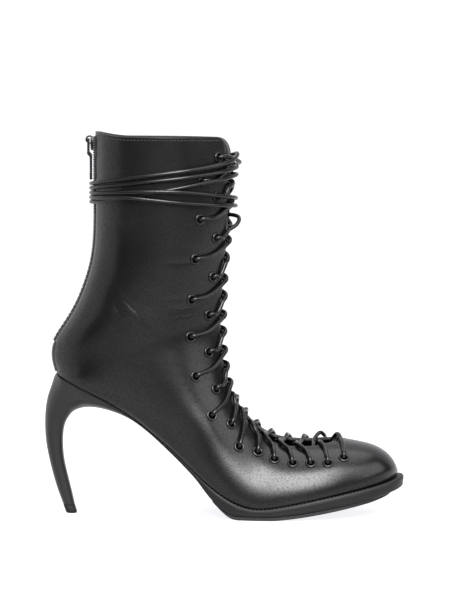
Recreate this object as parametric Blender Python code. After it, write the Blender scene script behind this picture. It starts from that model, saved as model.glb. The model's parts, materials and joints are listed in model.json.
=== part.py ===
"""Lace-up ankle boot for the right foot, with a curved high heel and a back zip.

Toe along +X, outer side of the foot along -Y, floor at Z = 0.  Tables are in millimetres and
become metres where a mesh is made.
"""

import math
from collections import namedtuple

import bmesh
import bpy
import numpy as np

MM = 0.001

# Driving sizes, millimetres.
WALL = 2.0
GAP = 0.3
FLOOR_FLAT_FROM = 8.0
FLOOR_FLAT_TO = 30.0
TREAD_TOE_X = 107.0
TOE_SPRING = 13.2
TOE_SPRING_POWER = 1.33
TREAD_THICK = 2.2
TREAD_REAR_X = -8.0
TREAD_FULL_X = 4.0
INSOLE_THICK = 2.0
WELT_STEP = 0.6
THROAT_TOE_X = 77.2
THROAT_ROUND = 24.0
COLLAR_CORNER_LATERAL = 6.0
COLLAR_CORNER_MEDIAL = 13.0
COLLAR_BACK_RISE = 3.0
BACK_SQUARE = 0.82
COLUMNS = 9

# Shift that puts the middle of the boot's box over the origin.
CENTRE_X = 0.35
CENTRE_Y = 0.8

# Last of the foot, toe tip to heel back: bottom edge (x, z, half widths of the bottom), top line
# (top_x, top_z and its offset ridge to the inner side), widest half widths, share of the height where
# it is widest, and how peaked the top is.
Foot = namedtuple("Foot", "x z seat_lateral seat_medial top_x top_z ridge lateral medial belly peak")
FOOT = [
    Foot(111.0, 25.0, 0.0, 0.0, 111.3, 27.2, 0.0, 0.0, 0.0, 0.30, 0.90),
    Foot(108.8, 24.3, 9.5, 9.5, 109.8, 31.2, 0.3, 9.8, 9.8, 0.30, 0.90),
    Foot(103.5, 22.6, 18.0, 17.5, 105.6, 37.2, 0.8, 18.8, 18.2, 0.30, 0.90),
    Foot(95.0, 20.7, 25.5, 24.0, 97.5, 42.6, 1.4, 26.6, 25.0, 0.30, 0.92),
    Foot(82.0, 18.0, 31.8, 29.2, 85.0, 46.0, 2.2, 33.0, 30.4, 0.30, 0.94),
    Foot(68.0, 15.2, 36.0, 33.2, 72.0, 47.8, 3.2, 37.6, 34.8, 0.30, 0.97),
    Foot(50.0, 11.6, 38.6, 36.4, 55.0, 47.4, 4.0, 40.6, 38.4, 0.31, 1.00),
    Foot(34.0, 8.6, 39.0, 37.4, 41.0, 48.2, 4.0, 41.4, 39.6, 0.32, 1.03),
    Foot(18.0, 7.4, 37.8, 36.0, 29.8, 51.6, 3.8, 40.6, 38.6, 0.33, 1.08),
    Foot(4.0, 11.7, 34.6, 32.0, 20.6, 58.0, 3.4, 38.4, 36.0, 0.34, 1.14),
    Foot(-12.0, 22.9, 29.8, 26.4, 12.4, 67.4, 2.8, 35.4, 33.0, 0.35, 1.20),
    Foot(-28.0, 38.2, 26.0, 22.0, 6.4, 77.6, 2.0, 33.0, 31.0, 0.37, 1.26),
    Foot(-46.0, 54.3, 23.8, 20.6, 3.0, 88.4, 1.4, 31.8, 30.4, 0.38, 1.32),
    Foot(-64.0, 67.6, 24.0, 22.4, 1.2, 99.5, 1.0, 31.2, 30.4, 0.40, 1.36),
    Foot(-80.0, 76.6, 25.0, 24.4, 0.4, 109.0, 0.6, 31.0, 30.6, 0.42, 1.38),
    Foot(-93.0, 83.4, 23.6, 23.4, 0.1, 116.5, 0.4, 31.0, 30.8, 0.43, 1.40),
    Foot(-102.0, 87.8, 17.4, 17.4, 0.0, 122.0, 0.2, 31.0, 30.8, 0.44, 1.40),
    Foot(-106.6, 90.4, 9.4, 9.4, 0.0, 126.0, 0.1, 31.0, 30.8, 0.45, 1.40),
    Foot(-108.2, 91.6, 0.0, 0.0, 0.1, 129.5, 0.0, 31.0, 31.0, 0.46, 1.40),
]

# Shaft, heel back to collar: back line, front line, half widths, widest share, peak of the front.
Shaft = namedtuple("Shaft", "back_x back_z front_x front_z lateral medial belly peak")
SHAFT = [
    Shaft(-110.2, 100.0, 0.2, 135.0, 31.2, 31.2, 0.48, 1.40),
    Shaft(-109.4, 109.0, 0.4, 142.0, 31.4, 31.4, 0.49, 1.40),
    Shaft(-103.6, 119.4, 0.7, 150.5, 31.8, 31.8, 0.50, 1.40),
    Shaft(-96.2, 131.2, 1.1, 159.0, 32.0, 32.0, 0.50, 1.40),
    Shaft(-89.6, 146.0, 2.2, 170.0, 32.2, 32.2, 0.50, 1.40),
    Shaft(-84.8, 162.0, 3.6, 182.0, 32.4, 32.4, 0.50, 1.40),
    Shaft(-82.6, 182.0, 4.6, 197.0, 32.6, 32.6, 0.50, 1.40),
    Shaft(-82.4, 204.0, 5.1, 214.0, 32.8, 32.8, 0.50, 1.40),
    Shaft(-82.4, 226.0, 5.4, 229.0, 33.0, 33.0, 0.50, 1.40),
    Shaft(-82.4, 242.0, 5.4, 241.0, 33.0, 33.0, 0.50, 1.40),
]

# Half gaps from the front line to each flap, by distance along the throat from its toe end.
Throat = namedtuple("Throat", "along lateral medial")
THROAT = [
    Throat(0.0, 14.0, 8.0),
    Throat(24.0, 17.5, 10.5),
    Throat(45.0, 17.0, 10.5),
    Throat(70.0, 12.0, 9.0),
    Throat(95.0, 8.5, 7.5),
    Throat(130.0, 6.0, 6.0),
    Throat(180.0, 6.0, 5.0),
    Throat(220.0, 9.0, 5.0),
    Throat(255.0, 13.0, 5.0),
]

# Sole: margin beyond the last's bottom edge, and underside behind the tread.
Margin = namedtuple("Margin", "x sole tread")
MARGIN = [
    Margin(-110.0, -0.6, 0.0),
    Margin(-40.0, -0.4, 0.0),
    Margin(-22.0, 0.4, -0.6),
    Margin(-6.0, 1.8, 0.4),
    Margin(8.0, 2.6, 1.2),
    Margin(60.0, 2.8, 1.3),
    Margin(92.0, 3.3, 0.6),
    Margin(104.0, 3.8, -2.2),
    Margin(111.0, 4.0, -4.0),
]
Waist = namedtuple("Waist", "x under_z")
WAIST = [
    Waist(-108.2, 89.3),
    Waist(-80.0, 74.4),
    Waist(-64.0, 65.4),
    Waist(-47.0, 52.7),
    Waist(-39.0, 45.4),
    Waist(-24.0, 30.7),
    Waist(-17.0, 22.9),
    Waist(-9.0, 12.2),
    Waist(-5.3, 8.2),
    Waist(-1.6, 4.6),
    Waist(1.5, 2.1),
    Waist(4.0, 0.8),
    Waist(8.0, 0.0),
]

# Heel: wing under the seat (top follows the sole), then the horn (back line, breast line, half width).
Wing = namedtuple("Wing", "seat_x breast_x breast_z half belly")
WING = [
    Wing(-50.0, -49.6, 54.0, 0.0, 0.10),
    Wing(-58.0, -57.2, 59.6, 0.0, 0.10),
    Wing(-66.0, -65.0, 63.8, 0.0, 0.10),
    Wing(-74.0, -73.4, 66.8, 0.0, 0.12),
    Wing(-83.0, -81.5, 68.6, 0.0, 0.15),
    Wing(-92.0, -87.5, 68.8, 23.0, 0.20),
    Wing(-101.0, -92.5, 67.9, 19.4, 0.30),
    Wing(-106.0, -95.6, 66.7, 17.4, 0.40),
    Wing(-108.2, -97.8, 65.3, 16.2, 0.45),
]
Horn = namedtuple("Horn", "back_x back_z breast_x breast_z half")
HORN = [
    Horn(-111.2, 83.0, -100.2, 62.4, 14.0),
    Horn(-113.6, 76.0, -101.8, 59.8, 12.0),
    Horn(-115.2, 67.5, -103.0, 56.8, 10.2),
    Horn(-115.7, 58.0, -103.9, 52.0, 8.8),
    Horn(-115.2, 47.5, -104.2, 44.6, 7.7),
    Horn(-113.2, 35.5, -103.4, 34.6, 6.8),
    Horn(-110.5, 24.5, -101.3, 24.6, 6.2),
    Horn(-107.5, 14.5, -98.9, 14.8, 5.8),
    Horn(-104.2, 5.5, -96.8, 5.5, 5.5),
]
HEEL_TIP_BACK_X = -102.3
HEEL_TIP_FRONT_X = -95.2

# Eyelets from the collar to the toe: distance along the throat from its toe end, and behind the edge.
Eyelet = namedtuple("Eyelet", "along inset")
EYELETS = [
    Eyelet(236.1, 8.0),
    Eyelet(223.1, 22.8),
    Eyelet(212.4, 11.6),
    Eyelet(200.4, 26.0),
    Eyelet(186.6, 12.1),
    Eyelet(177.0, 28.0),
    Eyelet(162.0, 11.2),
    Eyelet(152.0, 27.0),
    Eyelet(138.6, 12.0),
    Eyelet(129.0, 26.0),
    Eyelet(115.9, 13.5),
    Eyelet(106.5, 27.2),
    Eyelet(94.5, 15.1),
    Eyelet(86.1, 27.6),
    Eyelet(75.3, 18.0),
    Eyelet(65.5, 24.5),
    Eyelet(54.0, 17.1),
    Eyelet(43.3, 16.5),
    Eyelet(32.4, 17.9),
    Eyelet(21.2, 18.7),
    Eyelet(10.4, 23.0),
    Eyelet(0.7, 26.8),
]
EYELET_HOLE = 2.1
EYELET_OUTER = 3.5
EYELET_RISE = 0.9
HOLE_IN_WALL = 2.4
SKIN_GAP = 0.5

# Lace: a round cord, laid over the flaps and wound round the shaft.
CORD = 2.6
LACE_LIFT = 2.5
LACE_STOP = 7.4
LACE_TURN = 2.7

# Wound ends of the lace: turns round the shaft from the front by the outer side, height, and distance
# of the cord's middle from the skin.
Wound = namedtuple("Wound", "turns z lift")
WRAP_A = [
    Wound(0.03, 227.0, 5.8),
    Wound(-0.05, 224.0, 8.6),
    Wound(-0.12, 220.4, 8.8),
    Wound(-0.22, 215.4, 6.4),
    Wound(-0.30, 212.0, 6.2),
    Wound(-0.40, 208.0, 5.8),
    Wound(-0.46, 206.1, 5.2),
    Wound(-0.50, 206.0, 4.8),
    Wound(-0.58, 206.2, 5.4),
    Wound(-0.66, 207.0, 5.8),
    Wound(-0.75, 207.8, 6.0),
    Wound(-0.84, 206.0, 5.6),
    Wound(-0.94, 203.4, 6.4),
    Wound(-1.00, 202.4, 6.4),
    Wound(-1.08, 202.0, 6.0),
    Wound(-1.25, 202.6, 3.0),
    Wound(-1.42, 203.0, 3.6),
    Wound(-1.50, 203.1, 4.8),
    Wound(-1.58, 203.4, 5.6),
    Wound(-1.67, 203.8, 6.0),
    Wound(-1.78, 200.8, 4.0),
    Wound(-1.90, 198.4, 5.6),
    Wound(-2.00, 197.6, 6.4),
    Wound(-2.08, 197.6, 6.0),
    Wound(-2.18, 197.8, 3.0),
    Wound(-2.28, 198.0, 2.6),
]
WRAP_B = [
    Wound(-0.03, 232.0, 5.6),
    Wound(0.03, 229.4, 6.2),
    Wound(0.10, 225.0, 6.4),
    Wound(0.25, 218.8, 2.8),
    Wound(0.42, 213.4, 3.4),
    Wound(0.50, 211.8, 4.8),
    Wound(0.58, 212.6, 3.4),
    Wound(0.78, 218.2, 2.8),
    Wound(0.90, 221.4, 5.4),
    Wound(1.00, 222.4, 6.6),
    Wound(1.10, 220.0, 6.2),
    Wound(1.25, 214.8, 2.8),
    Wound(1.42, 210.2, 3.4),
    Wound(1.50, 208.9, 4.8),
    Wound(1.58, 209.6, 3.4),
    Wound(1.75, 214.0, 2.8),
    Wound(1.88, 216.8, 5.2),
    Wound(2.00, 217.6, 6.6),
    Wound(2.10, 215.2, 6.0),
    Wound(2.17, 212.2, 5.6),
    Wound(2.25, 208.0, 2.6),
    Wound(2.34, 204.0, 2.6),
    Wound(2.43, 201.0, 3.2),
    Wound(2.50, 200.2, 4.8),
    Wound(2.57, 200.2, 3.4),
    Wound(2.65, 200.2, 2.8),
]
WRAP_POINTS = 40

# Zip down the middle of the back, and the patch below it.
ZIP_LOW_Z = 112.0
ZIP_HALF = 3.2
ZIP_THICK = 1.3
STAY_TOP_Z = 109.5
STAY_HALF = 9.0
STAY_THICK = 1.0
SLIDER_LOW_Z = 233.0
SLIDER_TOP_Z = 242.0
SLIDER_HALF = 3.8
SLIDER_THICK = 1.4
HINGE_X = -87.2
HINGE_Z = 239.8
PULL_LENGTH = 25.5
PULL_HALF = 2.6
PULL_THICK = 1.6
PULL_KNEE = 7.6  # below the hinge, clear of the slider
PULL_SET = 1.6  # how far the plate is cranked in towards the zip


def spline(knots, rows):
    """Natural cubic spline through one row of values per knot; returns a function of the knot."""
    knots = np.asarray(knots, float)
    rows = np.asarray(rows, float)
    step = np.diff(knots)
    slope = np.diff(rows, axis=0) / step[:, None]
    count = len(knots)
    matrix = np.eye(count)
    right = np.zeros_like(rows)
    for i in range(1, count - 1):
        matrix[i, i - 1:i + 2] = step[i - 1], 2.0 * (step[i - 1] + step[i]), step[i]
        right[i] = 6.0 * (slope[i] - slope[i - 1])
    bend = np.linalg.solve(matrix, right)

    def at(where):
        where = np.clip(np.asarray(where, float), knots[0], knots[-1])
        i = np.clip(np.searchsorted(knots, where, side="right") - 1, 0, count - 2)
        wide = step[i][..., None]
        b = (where - knots[i])[..., None] / wide
        a = 1.0 - b
        cubic = ((a ** 3 - a) * bend[i] + (b ** 3 - b) * bend[i + 1]) * wide ** 2 / 6.0
        return a * rows[i] + b * rows[i + 1] + cubic

    return at


def mirrored(knots, rows, odd, both=False):
    """Rows repeated past the end so that the shape runs round the toe or heel without a kink."""
    sign = np.where(odd, -1.0, 1.0)
    rows = np.asarray(rows, float)
    knots = np.asarray(knots, float)
    before = rows[2:0:-1] * sign
    new_knots = np.concatenate([2 * knots[0] - knots[2:0:-1], knots])
    new_rows = np.concatenate([before, rows])
    if both:
        after = rows[-2:-4:-1] * sign
        new_knots = np.concatenate([new_knots, 2 * knots[-1] - knots[-2:-4:-1]])
        new_rows = np.concatenate([new_rows, after])
    return new_knots, new_rows


def row_knots():
    base = [(r.x, r.z, r.seat_lateral) for r in FOOT] + [(r.back_x, r.back_z, 0.0) for r in SHAFT]
    front = [(r.top_x, r.top_z) for r in FOOT] + [(r.front_x, r.front_z) for r in SHAFT]
    step = 0.5 * np.linalg.norm(np.diff(base, axis=0), axis=1)
    step = step + 0.5 * np.linalg.norm(np.diff(front, axis=0), axis=1)
    return np.concatenate([[0.0], np.cumsum(step)])


KNOTS = row_knots()
HEEL_S = KNOTS[len(FOOT) - 1]
TOP_S = KNOTS[-1]
GIRTH_ROWS = [(r.top_x, r.top_z, r.ridge, r.lateral, r.medial, r.belly, r.peak) for r in FOOT]
GIRTH_ROWS += [(r.front_x, r.front_z, 0.0, r.lateral, r.medial, r.belly, r.peak) for r in SHAFT]
GIRTH = spline(*mirrored(KNOTS, GIRTH_ROWS, [False, False, True, True, True, False, False]))
SEAT_ROWS = [(r.x, r.z, r.seat_lateral, r.seat_medial) for r in FOOT]
SEAT = spline(*mirrored(KNOTS[:len(FOOT)], SEAT_ROWS, [False, False, True, True], both=True))
BACK_ROWS = [(FOOT[-1].x, FOOT[-1].z)] + [(r.back_x, r.back_z) for r in SHAFT]
BACK = spline(KNOTS[len(FOOT) - 1:], BACK_ROWS)
GAP_LINE = spline([r.along for r in THROAT], [(r.lateral, r.medial) for r in THROAT])


def base_at(s):
    """Bottom or back point and the half widths of the bottom edge at station s."""
    if s <= HEEL_S:
        x, z, lateral, medial = SEAT(s)
        return x, z, max(lateral, 0.0), max(medial, 0.0)
    x, z = BACK(s)
    return x, z, 0.0, 0.0


def station_at_x(x):
    """Station whose bottom edge lies at x."""
    fine = np.linspace(0.0, HEEL_S, 2000)
    return float(np.interp(-x, -SEAT(fine)[:, 0], fine))


FINE = np.linspace(0.0, TOP_S, 3000)
THROAT_S = float(FINE[np.argmax(GIRTH(FINE)[:, 0] < THROAT_TOE_X)])
FRONT_S = np.linspace(THROAT_S, TOP_S, 2000)
FRONT_RUN = np.linalg.norm(np.diff(GIRTH(FRONT_S)[:, :2], axis=0), axis=1)
FRONT_RUN = np.concatenate([[0.0], np.cumsum(FRONT_RUN)])
THROAT_LENGTH = float(FRONT_RUN[-1])


def station_along(along):
    """Station at a distance along the throat from its toe end."""
    return float(np.interp(along, FRONT_RUN, FRONT_S))


def half_gap(s, side):
    """Gap from the front line to one flap, round at the toe end and at the collar's corners."""
    if s <= THROAT_S:
        return 0.0
    along = float(np.interp(s, FRONT_S, FRONT_RUN))
    gap = float(GAP_LINE(along)[0 if side < 0 else 1])
    if along < THROAT_ROUND:
        gap = gap * math.sqrt(1.0 - (1.0 - along / THROAT_ROUND) ** 2)
    left = THROAT_LENGTH - along
    corner = COLLAR_CORNER_LATERAL if side < 0 else COLLAR_CORNER_MEDIAL
    if left < corner:
        gap = gap + corner - math.sqrt(corner ** 2 - (corner - left) ** 2)
    return gap


def upper_point(s, angle, side):
    """Outer skin at station s; angle 0 is the front line, pi the back line or bottom edge."""
    front_x, front_z, ridge, lateral, medial, belly, peak = GIRTH(s)
    back_x, back_z, seat_lateral, seat_medial = base_at(s)
    wide = max(lateral if side < 0 else medial, 0.0)
    seat = min(seat_lateral if side < 0 else seat_medial, wide)
    sine = max(math.sin(angle), 0.0)
    if angle < math.pi / 2:
        share = belly + (1.0 - belly) * math.cos(angle)
        y = side * wide * sine ** peak + ridge * math.cos(angle) ** 2
    else:
        share = belly * (1.0 + math.cos(angle))
        y = side * (seat + (wide - seat) * sine ** BACK_SQUARE)
    x = back_x + (front_x - back_x) * share
    z = back_z + (front_z - back_z) * share
    if s > TOP_S - 20.0:
        near_top = 1.0 - (TOP_S - s) / 20.0
        near_back = max(1.0 - (x - back_x) / 22.0, 0.0)
        z = z + COLLAR_BACK_RISE * near_top * near_back ** 2
    return np.array([x, y, z])


def throat_angle(s, side):
    gap = half_gap(s, side)
    if gap <= 0.0:
        return 0.0
    girth = GIRTH(s)
    wide = girth[3] if side < 0 else girth[4]
    return math.asin((gap / wide) ** (1.0 / girth[6]))


def girth_run(s, side, start, end=math.pi, fine=120):
    """Angles and running length along one side of a section."""
    angles = np.linspace(start, end, fine)
    points = np.array([upper_point(s, a, side) for a in angles])
    run = np.concatenate([[0.0], np.cumsum(np.linalg.norm(np.diff(points, axis=0), axis=1))])
    return angles, run


def angle_inset(s, side, inset):
    """Angle at a distance behind the flap's edge."""
    angles, run = girth_run(s, side, throat_angle(s, side))
    return float(np.interp(inset, run, angles))


def upper_normal(s, angle, side):
    """Outward unit normal of the outer skin."""
    d = 0.4
    along = upper_point(min(s + d, TOP_S), angle, side) - upper_point(max(s - d, 0.0), angle, side)
    around = upper_point(s, min(angle + 0.01, math.pi), side)
    around = around - upper_point(s, max(angle - 0.01, 0.0), side)
    normal = np.cross(along, around)
    normal = normal / np.linalg.norm(normal)
    middle = 0.5 * (upper_point(s, 0.0, side) + upper_point(s, math.pi, side))
    away = upper_point(s, angle, side) - middle
    return normal if np.dot(normal, away) > 0.0 else -normal


def material(name, colour, roughness, metallic=0.0):
    made = bpy.data.materials.new(name)
    made.use_nodes = True
    shader = made.node_tree.nodes["Principled BSDF"]
    shader.inputs["Base Color"].default_value = (*colour, 1.0)
    shader.inputs["Roughness"].default_value = roughness
    shader.inputs["Metallic"].default_value = metallic
    return made


def add_mesh(name, points, faces, made_of, merge=0.02, home=(0.0, 0.0, 0.0)):
    """Closed mesh from points in millimetres, with its origin at home; points that coincide become one."""
    mesh = bpy.data.meshes.new(name)
    build = bmesh.new()
    verts = [build.verts.new(tuple((float(c) - h) * MM for c, h in zip(p, home))) for p in points]
    for face in faces:
        try:
            build.faces.new([verts[i] for i in face])
        except ValueError:
            continue
    bmesh.ops.remove_doubles(build, verts=build.verts[:], dist=merge * MM)
    bmesh.ops.dissolve_degenerate(build, edges=build.edges[:], dist=1e-7)
    bmesh.ops.recalc_face_normals(build, faces=build.faces[:])
    build.to_mesh(mesh)
    build.free()
    mesh.materials.append(made_of)
    placed = bpy.data.objects.new(name, mesh)
    placed.location = tuple(h * MM for h in home)
    bpy.context.scene.collection.objects.link(placed)
    return placed


def strip(rows):
    """Quads between neighbouring rows of equal length; returns points and faces."""
    wide = len(rows[0])
    points = [p for row in rows for p in row]
    faces = []
    for i in range(len(rows) - 1):
        for j in range(wide - 1):
            a = i * wide + j
            faces.append((a, a + 1, a + wide + 1, a + wide))
    return points, faces


def tube(loops, first=True, last=True):
    """Closed body through loops of points, with its two ends filled."""
    wide = len(loops[0])
    points = [p for loop in loops for p in loop]
    faces = []
    for i in range(len(loops) - 1):
        for j in range(wide):
            k = (j + 1) % wide
            faces.append((i * wide + j, i * wide + k, (i + 1) * wide + k, (i + 1) * wide + j))
    if first:
        faces.append(tuple(range(wide)))
    if last:
        faces.append(tuple(range((len(loops) - 1) * wide, len(loops) * wide)))
    return points, faces


def upper_stations():
    near_throat = [station_along(a) for a in (0.0, 1.2, 5.0)]
    near_top = [TOP_S - d for d in (0.0, 2.0, 5.0)]
    inner = [s for s in KNOTS[:-1] if min(abs(s - n) for n in near_throat + near_top) > 1.5]
    return sorted(set(inner + near_throat + near_top))


def upper_rows():
    """Outer skin, one row a station: collar edge round from lateral throat to medial throat."""
    rows = []
    for s in upper_stations():
        row = []
        for side in (-1.0, 1.0):
            angles, run = girth_run(s, side, throat_angle(s, side))
            even = np.interp(np.linspace(0.0, run[-1], COLUMNS + 1), run, angles)
            row.append([upper_point(s, a, side) for a in even])
        rows.append(row)
    return rows


def make_upper(leather):
    rows = upper_rows()
    lateral, faces = strip([row[0] for row in rows])
    medial, more = strip([row[1] for row in rows])
    shift = len(lateral)
    faces = faces + [tuple(i + shift for i in reversed(face)) for face in more]
    skin = add_mesh("upper", lateral + medial, faces, leather)
    thick = skin.modifiers.new("wall", "SOLIDIFY")
    thick.thickness = WALL * MM
    thick.offset = -1.0
    thick.use_rim = True
    thick.use_quality_normals = True
    return skin


def outline(s, margin):
    """Points of the bottom edge moved outward in plan by a margin: lateral and medial."""
    d = 0.3
    after = SEAT(min(s + d, HEEL_S))
    before = SEAT(max(s - d, 0.0))
    x, z, lateral, medial = SEAT(s)
    out = []
    for side, half, turn in ((-1.0, lateral, after[2] - before[2]), (1.0, medial, after[3] - before[3])):
        ahead = np.array([after[0] - before[0], side * turn])
        if s <= 0.0 or s >= HEEL_S:
            ahead = np.array([0.0, side * (1.0 if s <= 0.0 else -1.0)])
        ahead = ahead / np.linalg.norm(ahead)
        normal = np.array([-ahead[1], ahead[0]]) * side * -1.0
        out.append(np.array([x, side * max(half, 0.0)]) + normal * margin)
    return out


WAIST_LINE = spline([r.x for r in WAIST], [[r.under_z] for r in WAIST])


def ground_line(x):
    """Height of the lowest layer's underside: flat at the ball, rising to the toe and the waist."""
    if x < FLOOR_FLAT_FROM:
        return max(float(WAIST_LINE(x)[0]), 0.0)
    rise = max((x - FLOOR_FLAT_TO) / (TREAD_TOE_X - FLOOR_FLAT_TO), 0.0)
    return TOE_SPRING * rise ** TOE_SPRING_POWER


def tread_thick(x):
    """The tread thins out to the waist."""
    return TREAD_THICK * min(max((x - TREAD_REAR_X) / (TREAD_FULL_X - TREAD_REAR_X), 0.15), 1.0)


def sole_under(x):
    """Height of the leather sole's underside, above the tread where there is one."""
    over = min(max((x - TREAD_REAR_X + 6.0) / 6.0, 0.0), 1.0)
    return ground_line(x) + over * (tread_thick(x) + GAP)


def margins(x):
    xs = [r.x for r in MARGIN]
    return np.interp(x, xs, [r.sole for r in MARGIN]), np.interp(x, xs, [r.tread for r in MARGIN])


def layered(name, made_of, stations, levels):
    """Flat body between outline loops; levels gives (margin, z or rule of x) from top to bottom."""
    count = len(levels(stations[0]))
    loops = [[] for _ in range(count)]
    for s in stations:
        for loop, (margin, z) in zip(loops, levels(s)):
            pair = outline(s, margin)
            loop.append([np.array([*p, z(p[0]) if callable(z) else z]) for p in pair])
    points = []
    faces = []
    long = len(stations)
    for loop in loops:
        points += [pair[0] for pair in loop] + [pair[1] for pair in loop]
    ring = [i for i in range(long)] + [2 * long - 1 - i for i in range(long)]
    for level in range(count - 1):
        for j in range(2 * long):
            a = ring[j]
            b = ring[(j + 1) % (2 * long)]
            low = (level + 1) * 2 * long
            faces.append((level * 2 * long + a, level * 2 * long + b, low + b, low + a))
    for level in (0, count - 1):
        for i in range(long - 1):
            start = level * 2 * long
            faces.append((start + i, start + i + 1, start + long + i + 1, start + long + i))
    return add_mesh(name, points, faces, made_of)


def foot_stations(extra=()):
    half_way = 0.5 * (KNOTS[:len(FOOT) - 1] + KNOTS[1:len(FOOT)])
    half_way = [s for s in half_way if base_at(s)[0] > -70.0]
    return sorted(list(KNOTS[:len(FOOT)]) + half_way + list(extra))


def make_sole(leather):
    def levels(s):
        x, z, _, _ = base_at(s)
        margin, _ = margins(x)
        top = z - GAP
        deep = top - sole_under(x)
        step = WELT_STEP * min(deep / 5.0, 1.0)

        def part_way(share):
            return lambda at_x: top + (sole_under(at_x) - top) * share

        return [
            (margin, top),
            (margin, part_way(0.42)),
            (margin - step, part_way(0.46)),
            (margin - step, part_way(0.84)),
            (margin - step - 0.16 * deep, part_way(1.0)),
        ]

    return layered("sole", leather, foot_stations(), levels)


def make_tread(rubber):
    def levels(s):
        _, margin = margins(base_at(s)[0])
        return [
            (margin, lambda x: ground_line(x) + tread_thick(x)),
            (margin, lambda x: ground_line(x) + 0.25 * tread_thick(x)),
            (margin - 0.5, ground_line),
        ]

    rear = station_at_x(TREAD_REAR_X)
    flat = [station_at_x(FLOOR_FLAT_FROM), station_at_x(FLOOR_FLAT_TO)]
    stations = [s for s in foot_stations(flat) if s < rear - 1.0] + [rear]
    return layered("tread", rubber, stations, levels)


def make_insole(lining):
    def levels(s):
        x, z, _, _ = base_at(s)
        inset = -WALL - 1.7
        return [(inset - 0.5, z + GAP + INSOLE_THICK), (inset, z + GAP)]

    stations = [s for s in foot_stations() if 4.0 < s < HEEL_S - 4.0]
    return layered("insole", lining, stations, levels)


def horn_loop(back, breast, half, seat, belly, square, count=4):
    """Closed loop of a heel section from the breast round the outer side to the back."""
    loop = []
    for side in (-1.0, 1.0):
        angles = np.linspace(0.0, math.pi, 2 * count + 1)
        arc = []
        for a in angles:
            sine = max(math.sin(a), 0.0)
            if a < math.pi / 2:
                share = belly + (1.0 - belly) * math.cos(a)
                wide = half * sine ** square
            else:
                share = belly * (1.0 + math.cos(a))
                wide = seat + (half - seat) * sine
            x = back[0] + (breast[0] - back[0]) * share
            z = back[1] + (breast[1] - back[1]) * share
            arc.append(np.array([x, side * wide, z]))
        loop += arc if side < 0 else arc[::-1]
    return loop


def heel_loops():
    loops = []
    for row in WING:
        s = station_at_x(row.seat_x)
        _, _, lateral, medial = base_at(s)
        seat = max(0.5 * (lateral + medial) - 0.4, 0.0)
        back = (row.seat_x, sole_under(row.seat_x) - GAP)
        half = max(row.half, seat)
        loops.append(horn_loop(back, (row.breast_x, row.breast_z), half, seat, row.belly, 0.8))
    for row in HORN:
        back = (row.back_x, row.back_z)
        loops.append(horn_loop(back, (row.breast_x, row.breast_z), row.half, 0.0, 0.5, 0.75))
    return loops


def make_heel(covered):
    points, faces = tube(heel_loops())
    return add_mesh("heel", points, faces, covered)


def make_heel_tip(rubber):
    last = HORN[-1]
    top = last.back_z - GAP
    loops = [
        horn_loop((last.back_x, top), (last.breast_x, top), last.half, 0.0, 0.5, 0.75),
        horn_loop((HEEL_TIP_BACK_X, 0.0), (HEEL_TIP_FRONT_X, 0.0), last.half - 0.3, 0.0, 0.5, 0.75),
    ]
    points, faces = tube(loops)
    return add_mesh("heel_tip", points, faces, rubber)


def eyelet_place(row, side):
    """Middle of an eyelet on the outer skin and the direction it faces."""
    s = station_along(row.along)
    angle = angle_inset(s, side, row.inset)
    return upper_point(s, angle, side), upper_normal(s, angle, side)


def ring_axes(normal):
    across = np.cross(normal, (0.0, 0.0, 1.0))
    across = across / np.linalg.norm(across)
    return across, np.cross(normal, across)


def circle(centre, normal, radius, height, count):
    """Points of a circle lifted along its axis."""
    u, v = ring_axes(normal)
    turns = [2.0 * math.pi * i / count for i in range(count)]
    lifted = centre + normal * height
    return [lifted + radius * (math.cos(a) * u + math.sin(a) * v) for a in turns]


def make_eyelets(enamel):
    middle = 0.5 * (EYELET_HOLE + EYELET_OUTER)
    for side, word in ((-1.0, "lat"), (1.0, "med")):
        for number, row in enumerate(EYELETS, 1):
            centre, normal = eyelet_place(row, side)
            loops = [
                circle(centre, normal, EYELET_HOLE, SKIN_GAP, 6),
                circle(centre, normal, EYELET_OUTER, SKIN_GAP, 6),
                circle(centre, normal, middle, SKIN_GAP + EYELET_RISE, 6),
            ]
            points, faces = tube(loops + loops[:1], first=False, last=False)
            add_mesh(f"eyelet_{word}_{number:02d}", points, faces, enamel)


def cut(target, points, faces, name, how="DIFFERENCE"):
    """Boolean with a hidden helper body."""
    helper = add_mesh(name, points, faces, target.data.materials[0])
    helper.hide_render = True
    helper.display_type = "WIRE"
    step = target.modifiers.new(name, "BOOLEAN")
    step.operation = how
    step.solver = "EXACT"
    step.object = helper


def cut_eyelet_holes(upper):
    points = []
    faces = []
    for side in (-1.0, 1.0):
        for row in EYELETS:
            centre, normal = eyelet_place(row, side)
            loops = [circle(centre, normal, HOLE_IN_WALL, lift, 5) for lift in (-WALL - 1.5, 1.5)]
            more, quads = tube(loops)
            shift = len(points)
            points += more
            faces += [tuple(i + shift for i in quad) for quad in quads]
    cut(upper, points, faces, "eyelet_holes")


def skin_lifted(s, angle, side, lift):
    return upper_point(s, angle, side) + upper_normal(s, angle, side) * lift


def on_flap(along, inset, side, lift):
    s = station_along(along)
    return skin_lifted(s, angle_inset(s, side, max(inset, 0.0)), side, lift)


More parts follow.
